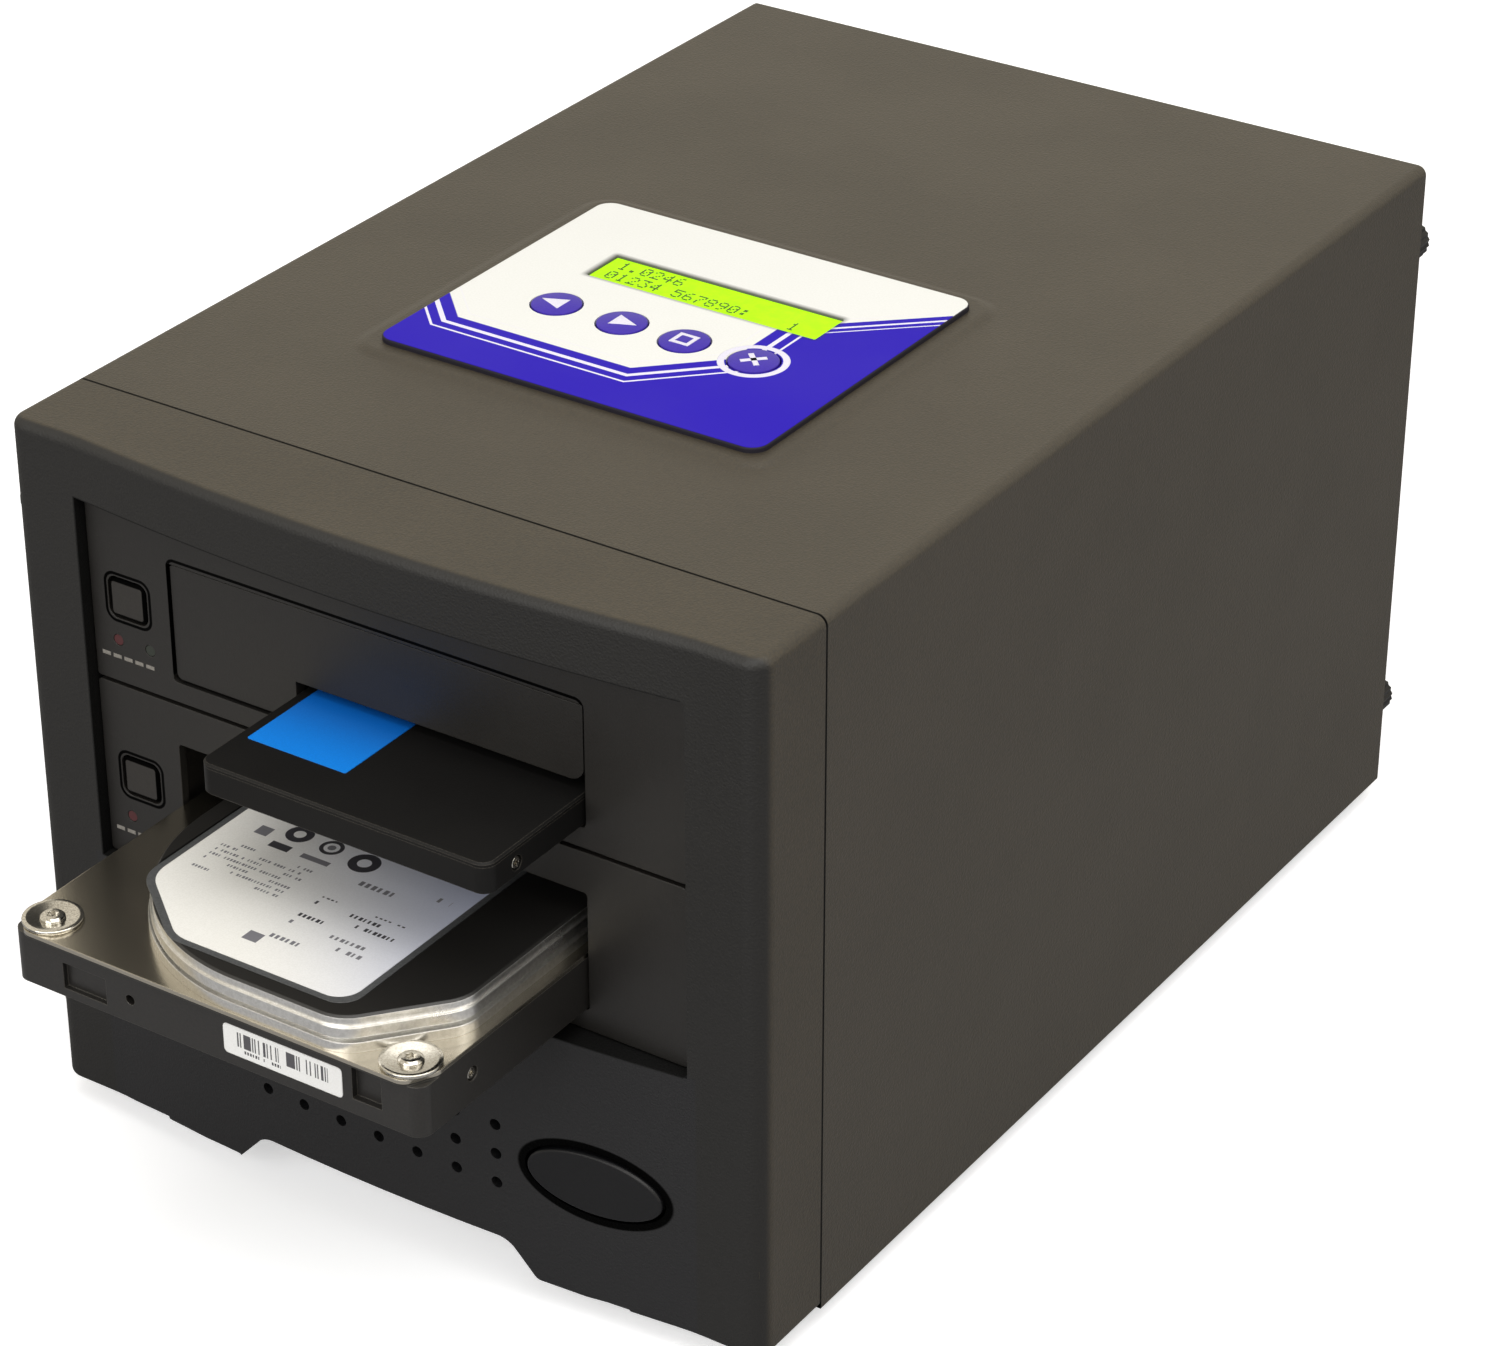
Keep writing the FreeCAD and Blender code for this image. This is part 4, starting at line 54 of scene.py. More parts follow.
CLOUD_SIZE = 35 * MM                   # of the broad variation of tone
RELIEF_DEPTH = 0.35                    # of a grain's size
WEAR_AND_HIGHLIGHT_TURN = (0.985, 0.86)              # where an edge's wear and painted highlight start and where they are full
DIAGONAL = 0.7071                      # sine of 45 degrees
LEVEL = 0.9                            # least upward part of the direction of a face that looks up
DISPLAY_FRAME = 4.0                    # of the display module round its window, in millimetres
log = logging.getLogger("duplicator")

Colour = tuple[float, float, float]
Socket = bpy.types.NodeSocket
Value = float | Colour | Vector | Socket


# ---- Small tools ---------------------------------------------------------------------------------------
def srgb(code: str) -> Colour:
    """Turns a six-digit screen colour into linear light.

    Args:
        code: the colour as hexadecimal digits, such as "6b6353".

    Returns:
        Red, green and blue from 0 to 1.
    """
    channels = [int(code[i:i + 2], 16) / 255 for i in (0, 2, 4)]
    return tuple(c / 12.92 if c <= 0.04045 else ((c + 0.055) / 1.055) ** 2.4 for c in channels)


def mm(*values: float) -> Vector:
    """Makes a vector in metres from millimetres."""
    return Vector([v * MM for v in values])


# ---- Modelling by hand ---------------------------------------------------------------------------------
class Workbench:
    """Blender's modelling operators, wrapped so that each works on one piece at a time."""

    @staticmethod
    def clear() -> None:
        """Deselects every object."""
        bpy.ops.object.select_all(action="DESELECT")

    @staticmethod
    def take(piece: bpy.types.Object) -> None:
        """Selects one piece alone and makes it active."""
        Workbench.clear()
        piece.select_set(True)
        bpy.context.view_layer.objects.active = piece

    @staticmethod
    @contextmanager
    def editing(piece: bpy.types.Object) -> Iterator[None]:
        """Opens a piece in edit mode with nothing selected, and closes it again."""
        Workbench.take(piece)
        bpy.ops.object.mode_set(mode="EDIT")
        bpy.ops.mesh.select_mode(type="FACE")
        bpy.ops.mesh.select_all(action="DESELECT")
        yield
        bpy.ops.object.mode_set(mode="OBJECT")

    @staticmethod
    def pick_faces(piece: bpy.types.Object, test: Callable[[bmesh.types.BMFace], bool]) -> int:
        """Selects the faces of the open piece that pass a test.

        Args:
            piece: the piece that is open in edit mode.
            test: says whether a face is wanted.

        Returns:
            The number of selected faces.
        """
        mesh = bmesh.from_edit_mesh(piece.data)
        found = [face for face in mesh.faces if test(face)]
        for face in mesh.faces:
            face.select_set(False)
        for face in found:
            face.select_set(True)
        bmesh.update_edit_mesh(piece.data)
        return len(found)

    @staticmethod
    def settle(piece: bpy.types.Object) -> None:
        """Moves a piece's place, turn and size from its object into its mesh."""
        Workbench.take(piece)
        bpy.ops.object.transform_apply(location=True, rotation=True, scale=True)

    @staticmethod
    def outward(piece: bpy.types.Object) -> None:
        """Merges doubled points and turns every face outwards."""
        with Workbench.editing(piece):
            bpy.ops.mesh.select_all(action="SELECT")
            bpy.ops.mesh.remove_doubles(threshold=0.002 * MM)
            bpy.ops.mesh.normals_make_consistent(inside=False)

    @staticmethod
    def smooth(piece: bpy.types.Object, degrees: float) -> None:
        """Smooths a piece's shading, except across edges sharper than an angle."""
        Workbench.take(piece)
        bpy.ops.object.shade_smooth_by_angle(angle=math.radians(degrees))

    @staticmethod
    def bevel(piece: bpy.types.Object, width: float, segments: int, degrees: float = 40.0) -> None:
        """Rounds a piece's edges with an applied Bevel modifier.

        Args:
            piece: the piece to round.
            width: width of the round, in metres.
            segments: number of faces across the round.
            degrees: only edges sharper than this are rounded.
        """
        Workbench.take(piece)
        modifier = piece.modifiers.new("round", "BEVEL")
        modifier.width = width
        modifier.segments = segments
        modifier.limit_method = "ANGLE"
        modifier.angle_limit = math.radians(degrees)
        bpy.ops.object.modifier_apply(modifier=modifier.name)

    @staticmethod
    def boolean(piece: bpy.types.Object, other: bpy.types.Object, operation: str) -> None:
        """Cuts another shape out of a piece or fuses it on, and removes the other shape.

        Args:
            piece: the piece that is kept.
            other: the shape that is used up.
            operation: DIFFERENCE or UNION.
        """
        Workbench.take(piece)
        modifier = piece.modifiers.new("boolean", "BOOLEAN")
        modifier.operation = operation
        modifier.solver = "EXACT"
        modifier.object = other
        bpy.ops.object.modifier_apply(modifier=modifier.name)
        Workbench.discard(other)

    @staticmethod
    def copy(piece: bpy.types.Object, place: Matrix) -> bpy.types.Object:
        """Copies a piece, with a mesh of its own, and puts the copy in its place.

        Args:
            piece: the finished piece at the origin.
            place: where the copy goes.

        Returns:
            The copy, with its place in its mesh.
        """
        twin = piece.copy()
        twin.data = piece.data.copy()
        bpy.context.scene.collection.objects.link(twin)
        twin.data.transform(place)
        return twin

    @staticmethod
    def join(pieces: Sequence[bpy.types.Object], name: str) -> bpy.types.Object:
        """Joins pieces into one object with a name."""
        Workbench.clear()
        for piece in pieces:
            piece.select_set(True)
        bpy.context.view_layer.objects.active = pieces[0]
        if len(pieces) > 1:
            bpy.ops.object.join()
        return Workbench.named(pieces[0], name)

    @staticmethod
    def named(piece: bpy.types.Object, name: str) -> bpy.types.Object:
        """Names a piece and its mesh."""
        piece.name = piece.data.name = name
        return piece

    @staticmethod
    def hollow(piece: bpy.types.Object, width: float) -> bpy.types.Object:
        """Opens a flat piece from top to bottom and leaves a border of one width."""
        with Workbench.editing(piece):
            Workbench.pick_faces(piece, lambda face: abs(face.normal.z) > LEVEL)
            bpy.ops.mesh.inset(thickness=width)
            bpy.ops.mesh.bridge_edge_loops()
        Workbench.outward(piece)
        return piece

    @staticmethod
    def discard(*pieces: bpy.types.Object) -> None:
        """Removes pieces that only served to make others."""
        for piece in pieces:
            bpy.data.objects.remove(piece)

    @staticmethod
    def slab(low: Vector, high: Vector) -> bpy.types.Object:
        """Adds a box between two corners, with its place in its mesh."""
        Workbench.clear()
        bpy.ops.mesh.primitive_cube_add(size=1, location=(low + high) / 2)
        piece = bpy.context.active_object
        piece.scale = high - low
        Workbench.settle(piece)
        return piece

    @staticmethod
    def drum(centre: Vector, radius: float, depth: float, sides: int = 32) -> bpy.types.Object:
        """Adds an upright cylinder round a centre, with its place in its mesh."""
        Workbench.clear()
        bpy.ops.mesh.primitive_cylinder_add(vertices=sides, radius=radius, depth=depth, location=centre)
        piece = bpy.context.active_object
        Workbench.settle(piece)
        return piece


def twin_of(node: str) -> bpy.types.Object:
    """Copies a frame node as a loose piece that can be edited, also where the node itself is hidden."""
    twin = Workbench.copy(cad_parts[node], Matrix())
    twin.parent = None
    twin.hide_viewport = twin.hide_render = False
    return twin


def solids_of(node: str) -> list[tuple[Vector, Vector]]:
    """Finds the separate solids of a frame node.

    Args:
        node: the node's name.

    Returns:
        The lowest and highest corner of each solid.
    """
    with Workbench.editing(twin_of(node)):
        bpy.ops.mesh.select_all(action="SELECT")
        bpy.ops.mesh.remove_doubles(threshold=0.001 * MM)
        bpy.ops.mesh.separate(type="LOOSE")
    parts = list(bpy.context.selected_objects)
    boxes = []
    for part in parts:
        points = [v.co for v in part.data.vertices]
        boxes.append((Vector([min(p[i] for p in points) for i in range(3)]),
                      Vector([max(p[i] for p in points) for i in range(3)])))
    Workbench.discard(*parts)
    return sorted(boxes, key=lambda pair: tuple(round(c, 5) for c in pair[0]))


def facing(axis: Vector) -> Matrix:
    """Turns a piece that was made facing up so that it faces along an axis."""
    return Vector((0, 0, 1)).rotation_difference(axis).to_matrix().to_4x4()


# ---- Node graphs ---------------------------------------------------------------------------------------
class Graph:
    """Writes the nodes of one material or one node group."""

    def __init__(self, tree: bpy.types.NodeTree) -> None:
        """Starts on a tree.

        Args:
            tree: the node tree to write in.
        """
        self.tree = tree

    def add(self, kind: str, **settings: object) -> bpy.types.Node:
        """Adds a node and sets its properties."""
        node = self.tree.nodes.new(kind)
        for name, value in settings.items():
            setattr(node, name, value)
        return node

    def feed(self, socket: Socket, value: Value) -> None:
        """Links a socket, or sets it when the value is a number or a colour."""
        if isinstance(value, bpy.types.NodeSocket):
            self.tree.links.new(value, socket)
        elif socket.type == "RGBA":
            socket.default_value = (*value, 1.0)
        elif socket.type == "VECTOR" and isinstance(value, (int, float)):
            socket.default_value = (value, value, value)
        else:
            socket.default_value = value

    def math(self, operation: str, first: Value, second: Value = 0.0, clamp: bool = False) -> Socket:
        """Adds a Math node and gives its result."""
        node = self.add("ShaderNodeMath", operation=operation, use_clamp=clamp)
        self.feed(node.inputs[0], first)
        self.feed(node.inputs[1], second)
        return node.outputs[0]

    def times(self, first: Value, second: Value) -> Socket:
        """Multiplies two values."""
        return self.math("MULTIPLY", first, second)

    def plus(self, first: Value, second: Value, clamp: bool = False) -> Socket:
        """Adds two values."""
        return self.math("ADD", first, second, clamp)

    def minus(self, first: Value, second: Value) -> Socket:
        """Takes the second value from the first."""
        return self.math("SUBTRACT", first, second)

    def vector(self, operation: str, first: Value, second: Value = 0.0) -> Socket:
        """Adds a Vector Math node and gives its result."""
        node = self.add("ShaderNodeVectorMath", operation=operation)
        self.feed(node.inputs[0], first)
        self.feed(node.inputs[1], second)
        return node.outputs["Value" if operation in ("LENGTH", "DOT_PRODUCT") else "Vector"]

    def split(self, vector: Socket) -> tuple[Socket, Socket, Socket]:
        """Gives the three parts of a vector."""
        node = self.add("ShaderNodeSeparateXYZ")
        self.feed(node.inputs[0], vector)
        return node.outputs[0], node.outputs[1], node.outputs[2]

    def combine(self, x: Value, y: Value, z: Value) -> Socket:
        """Makes a vector from three parts."""
        node = self.add("ShaderNodeCombineXYZ")
        for socket, value in zip(node.inputs, (x, y, z)):
            self.feed(socket, value)
        return node.outputs[0]

    def scaled(self, vector: Socket, factors: Sequence[float], shift: Sequence[float] = (0, 0, 0)) -> Socket:
        """Moves a vector and then stretches it by its own factor along each axis."""
        moved = self.vector("SUBTRACT", vector, Vector(shift))
        return self.vector("MULTIPLY", moved, Vector(factors))

    def ramp(self, value: Value, low: Value, high: Value, start: float = 0.0, end: float = 1.0) -> Socket:
        """Maps a range smoothly onto another and clamps it."""
        node = self.add("ShaderNodeMapRange", interpolation_type="SMOOTHSTEP")
        for name, item in (("Value", value), ("From Min", low), ("From Max", high), ("To Min", start),
                           ("To Max", end)):
            self.feed(node.inputs[name], item)
        return node.outputs[0]

    def mix(self, share: Value, first: Value, second: Value) -> Socket:
        """Mixes two colours."""
        node = self.add("ShaderNodeMix", data_type="RGBA")
        self.feed(node.inputs[0], share)
        self.feed(node.inputs[6], first)
        self.feed(node.inputs[7], second)
        return node.outputs[2]

    def steps(self, vector: Value, size: Socket) -> Socket:
        """Counts a place in steps of one size along every axis."""
        return self.vector("DIVIDE", vector, self.combine(size, size, size))

    def noise(self, vector: Value, scale: float, detail: float = 2.0, rough: float = 0.5) -> Socket:
        """Adds a Noise Texture and gives its factor."""
        node = self.add("ShaderNodeTexNoise")
        for name, item in (("Vector", vector), ("Scale", scale), ("Detail", detail), ("Roughness", rough)):
            self.feed(node.inputs[name], item)
        return node.outputs["Fac"]

    def cells(self, vector: Value, scale: float) -> Socket:
        """Adds a Voronoi Texture and gives the distance to its nearest point."""
        node = self.add("ShaderNodeTexVoronoi")
        self.feed(node.inputs["Vector"], vector)
        self.feed(node.inputs["Scale"], scale)
        return node.outputs["Distance"]

    def dice(self, vector: Value) -> Socket:
        """Adds a White Noise Texture and gives one value for each point."""
        node = self.add("ShaderNodeTexWhiteNoise", noise_dimensions="3D")
        self.feed(node.inputs["Vector"], vector)
        return node.outputs["Value"]

    def place(self) -> Socket:
        """Gives the point's place on its object."""
        return self.add("ShaderNodeTexCoord").outputs["Object"]

    def normal(self) -> Socket:
        """Gives the surface's direction on its object."""
        return self.add("ShaderNodeTexCoord").outputs["Normal"]

    def use(self, effect: "Effect", **values: Value) -> bpy.types.Node:
        """Adds a shared effect and sets its inputs."""
        node = self.add("ShaderNodeGroup", node_tree=EffectShelf.get(effect))
        for name, value in values.items():
            self.feed(node.inputs[name.replace("_", " ").capitalize()], value)
        return node


class Effect(Enum):
    """The effects that several finishes share."""

    GRAIN = "moulded grain"
    MOTTLE = "uneven tone"
    BRUSH = "brushed lines"
    WINDOW = "soft box"
    PRINT = "printed rows"
    BARS = "printed bars"


class EffectShelf:
    """Builds each shared effect once, as a node group."""

    made: dict[Effect, bpy.types.NodeTree] = {}

    MARK_WIDTH = 0.42                  # of the rows' pitch
    MARK_BAND = (0.28, 0.72)           # lower and upper end of a mark in its row
    MARK_START = 0.14                  # of the mark's own width
    MARK_END = 0.45                    # of the shortest mark
    MARK_EXTRA = 0.4                   # that the longest mark has over it
    WORD = 7.0                         # marks in a word
    WORD_SHIFT = 3.0                   # marks that each row starts later
    BLANK_SHARE = 0.12                 # marks that are left out

    @classmethod
    def get(cls, effect: Effect) -> bpy.types.NodeTree:
        """Gives the node group of an effect, building it at its first use."""
        if effect not in cls.made:
            builder = {Effect.GRAIN: cls.grain, Effect.MOTTLE: cls.mottle, Effect.BRUSH: cls.brush,
                       Effect.WINDOW: cls.window, Effect.PRINT: cls.print_rows, Effect.BARS: cls.bars}[effect]
            cls.made[effect] = builder(effect.value)
        return cls.made[effect]

    @staticmethod
    def blank(name: str, inputs: dict[str, float | Vector], outputs: Sequence[str]
              ) -> tuple[Graph, dict[str, Socket], dict[str, Socket]]:
        """Makes an empty group with named sockets.

        Args:
            name: the group's name.
            inputs: each input's name and its first value, a number or a vector.
            outputs: the names of the outputs, all plain numbers.

        Returns:
            The group's graph, its input values and its output sockets.
        """
        tree = bpy.data.node_groups.new(name, "ShaderNodeTree")
        for label, value in inputs.items():
            kind = "NodeSocketVector" if isinstance(value, Vector) else "NodeSocketFloat"
            socket = tree.interface.new_socket(name=label, in_out="INPUT", socket_type=kind)
            socket.default_value = value
        for label in outputs:
            tree.interface.new_socket(name=label, in_out="OUTPUT", socket_type="NodeSocketFloat")
        graph = Graph(tree)
        source = graph.add("NodeGroupInput")
        sink = graph.add("NodeGroupOutput")
        given, out = [{s.name: s for s in sockets if s.name} for sockets in (source.outputs, sink.inputs)]
        return graph, given, out

    @classmethod
    def grain(cls, name: str) -> bpy.types.NodeTree:
        """Fine pebbled grain: a tone from 0 to 1 and a height."""
        graph, given, out = cls.blank(name, {"Place": Vector(), "Size": 0.6 * MM}, ("Tone", "Height"))
        steps = graph.steps(given["Place"], given["Size"])
        pebbles = graph.cells(steps, 1.0)
        grit = graph.noise(steps, 0.9, 3.0, 0.65)
        height = graph.plus(graph.times(pebbles, 0.6), graph.times(grit, 0.7))
        graph.feed(out["Height"], height)
        graph.feed(out["Tone"], graph.ramp(grit, 0.33, 0.67))
        return graph.tree

    @classmethod
    def mottle(cls, name: str) -> bpy.types.NodeTree:
        """Broad cloudy variation of tone, from 0 to 1."""
        graph, given, out = cls.blank(name, {"Place": Vector(), "Size": 40 * MM}, ("Tone",))
        steps = graph.steps(given["Place"], given["Size"])
        wide = graph.noise(steps, 1.0, 3.0, 0.55)
        graph.feed(out["Tone"], graph.ramp(wide, 0.32, 0.68))
        return graph.tree

    @classmethod
    def brush(cls, name: str) -> bpy.types.NodeTree:
        """Fine lines along one direction: a tone from 0 to 1 and a height."""
        stretch = Vector((30.0, 6000.0, 3000.0))
        graph, given, out = cls.blank(name, {"Place": Vector(), "Stretch": stretch}, ("Tone", "Height"))
        lines = graph.noise(graph.vector("MULTIPLY", given["Place"], given["Stretch"]), 1.0, 4.0, 0.6)
        graph.feed(out["Tone"], graph.ramp(lines, 0.3, 0.7))
        graph.feed(out["Height"], lines)
        return graph.tree

    @classmethod
    def window(cls, name: str) -> bpy.types.NodeTree:
        """Mask of the space between two corners, with soft sides."""
        graph, given, out = cls.blank(name, {"Place": Vector(), "Low": Vector(), "High": Vector(),
                                             "Soft": 0.1 * MM}, ("Mask",))
        points = graph.split(given["Place"])
        lows = graph.split(given["Low"])
        highs = graph.split(given["High"])
        mask: Value = 1.0
        for point, low, high in zip(points, lows, highs):
            above = graph.math("DIVIDE", graph.minus(point, low), given["Soft"], clamp=True)
            below = graph.math("DIVIDE", graph.minus(high, point), given["Soft"], clamp=True)
            mask = graph.times(mask, graph.times(above, below))
        graph.feed(out["Mask"], mask)
        return graph.tree

    @classmethod
    def print_rows(cls, name: str) -> bpy.types.NodeTree:
        """Rows of small unreadable marks, as fine print looks from a distance."""
        graph, given, out = cls.blank(name, {"Across": 0.0, "Up": 0.0, "Pitch": 2.0 * MM, "Filled": 0.7},
                                      ("Mask",))
        row_value = graph.math("DIVIDE", given["Up"], given["Pitch"])
        row = graph.math("FLOOR", row_value)
        height = graph.math("FRACT", row_value)
        width = graph.times(given["Pitch"], cls.MARK_WIDTH)
        column_value = graph.math("DIVIDE", given["Across"], width)
        column = graph.math("FLOOR", column_value)
        place = graph.math("FRACT", column_value)
        moved = graph.plus(column, graph.times(row, cls.WORD_SHIFT))
        word = graph.math("FLOOR", graph.math("DIVIDE", moved, cls.WORD))
        here = graph.dice(graph.combine(word, row, 3.5))
        letter = graph.dice(graph.combine(column, row, 9.5))
        inside = graph.times(graph.math("GREATER_THAN", height, cls.MARK_BAND[0]),
                             graph.math("LESS_THAN", height, cls.MARK_BAND[1]))
        end = graph.plus(cls.MARK_END, graph.times(letter, cls.MARK_EXTRA))
        stroke = graph.times(graph.math("GREATER_THAN", place, cls.MARK_START),
                             graph.math("LESS_THAN", place, end))
        worded = graph.times(graph.math("LESS_THAN", here, given["Filled"]),
                             graph.math("GREATER_THAN", letter, cls.BLANK_SHARE))
        graph.feed(out["Mask"], graph.times(graph.times(inside, stroke), worded))
        return graph.tree

    @classmethod
    def bars(cls, name: str) -> bpy.types.NodeTree:
        """Upright bars of uneven width."""
        graph, given, out = cls.blank(name, {"Across": 0.0, "Pitch": 0.5 * MM, "Filled": 0.5}, ("Mask",))
        column = graph.math("FLOOR", graph.math("DIVIDE", given["Across"], given["Pitch"]))
        mark = graph.dice(graph.combine(column, 1.5, 2.5))
        graph.feed(out["Mask"], graph.math("LESS_THAN", mark, given["Filled"]))
        return graph.tree


# ---- Finishes ------------------------------------------------------------------------------------------
Mask = Callable[[Graph, Socket], Socket]


@dataclass(frozen=True)
class Layer:
    """Something that lies over a finish in one place: a print, a coat, a bare patch or painted shade."""

    colour: str
    mask: Mask
    roughness: float | None = None
    metallic: float | None = None


@dataclass(frozen=True)
class Finish:
    """A surface with its two tones, its gloss, its fine relief and the layers that lie on it."""

    name: str
    colour: str
    shade: str
    roughness: float = 0.5
    spread: float = 0.08
    metallic: float = 0.0
    coat: float = 0.0
    specular: float = 0.5
    glow: float = 0.0
    grain: float = 0.6
    relief: float = 0.06
    cloud: float = 0.15
    brush: Vector | None = None
    edge: float = 0.25
    # colour of the lighter edges: partly wear, partly a painted highlight
    edge_wear_and_highlight: str | None = None
    layers: tuple[Layer, ...] = ()

    def build(self) -> bpy.types.Material:
        """Makes the material.

        Returns:
            The material, ready to be put in a slot.
        """
        material = bpy.data.materials.new(self.name)
        material.use_nodes = True
        graph = Graph(material.node_tree)
        shader = next(n for n in material.node_tree.nodes if n.type == "BSDF_PRINCIPLED")
        place = graph.place()

        grain = graph.use(Effect.GRAIN, Place=place, Size=self.grain * MM)
        mottle = graph.use(Effect.MOTTLE, Place=place, Size=CLOUD_SIZE)
        tone, height = grain.outputs["Tone"], grain.outputs["Height"]
        if self.brush is not None:
            lines = graph.use(Effect.BRUSH, Place=place, Stretch=self.brush)
            tone, height = lines.outputs["Tone"], lines.outputs["Height"]
        share = graph.plus(graph.times(tone, 1.0 - self.cloud),
                           graph.times(mottle.outputs["Tone"], self.cloud))
        colour: Value = graph.mix(share, srgb(self.colour), srgb(self.shade))
        rough: Value = graph.plus(graph.times(mottle.outputs["Tone"], self.spread),
                                  self.roughness - self.spread / 2)
        metal: Value = self.metallic

        geometry = graph.add("ShaderNodeNewGeometry")
        surface = geometry.outputs["Normal"]
        if self.edge > 0:
            rounded = graph.add("ShaderNodeBevel", samples=3)
            rounded.inputs["Radius"].default_value = self.edge * MM
            surface = rounded.outputs[0]
        # lighter rounded edges: partly wear, partly a painted highlight where light catches them
        if self.edge_wear_and_highlight is not None:
            turn = graph.vector("DOT_PRODUCT", surface, geometry.outputs["True Normal"])
            edge_turn_mask = graph.ramp(turn, *WEAR_AND_HIGHLIGHT_TURN)
            wear_and_highlight_share = graph.times(edge_turn_mask, graph.ramp(tone, 0.1, 0.7, 0.35, 1.0))
            colour = graph.mix(wear_and_highlight_share, colour, srgb(self.edge_wear_and_highlight))
        for layer in self.layers:
            mask = layer.mask(graph, place)
            colour = graph.mix(mask, colour, srgb(layer.colour))
            if layer.roughness is not None:
                rough = self.blended(graph, mask, rough, layer.roughness)
            if layer.metallic is not None:
                metal = self.blended(graph, mask, metal, layer.metallic)

        bump = graph.add("ShaderNodeBump")
        bump.inputs["Strength"].default_value = self.relief
        bump.inputs["Distance"].default_value = self.grain * MM * RELIEF_DEPTH
        graph.feed(bump.inputs["Height"], height)
        graph.feed(bump.inputs["Normal"], surface)
        graph.feed(shader.inputs["Base Color"], colour)
        graph.feed(shader.inputs["Roughness"], rough)
        graph.feed(shader.inputs["Metallic"], metal)
        graph.feed(shader.inputs["Normal"], bump.outputs[0])
        shader.inputs["Coat Weight"].default_value = self.coat
        shader.inputs["Specular IOR Level"].default_value = self.specular
        if self.glow > 0:
            graph.feed(shader.inputs["Emission Color"], colour)
            shader.inputs["Emission Strength"].default_value = self.glow
        return material

    @staticmethod
    def blended(graph: Graph, mask: Value, under: Value, over: float) -> Socket:
        """Mixes one number over another by a mask."""
        return graph.plus(graph.times(under, graph.minus(1.0, mask)), graph.times(mask, over))


def inside(low: Vector, high: Vector, soft: float = 0.05) -> Mask:
    """Gives the mask of the space between two corners.

    Args:
        low: the lowest corner, in metres.
        high: the highest corner, in metres.
        soft: width of the soft border, in millimetres.
    """
    def mask(graph: Graph, place: Socket) -> Socket:
        """Writes the mask's nodes."""
        node = graph.use(Effect.WINDOW, Place=place, Low=low, High=high, Soft=soft * MM)
        return node.outputs["Mask"]
    return mask


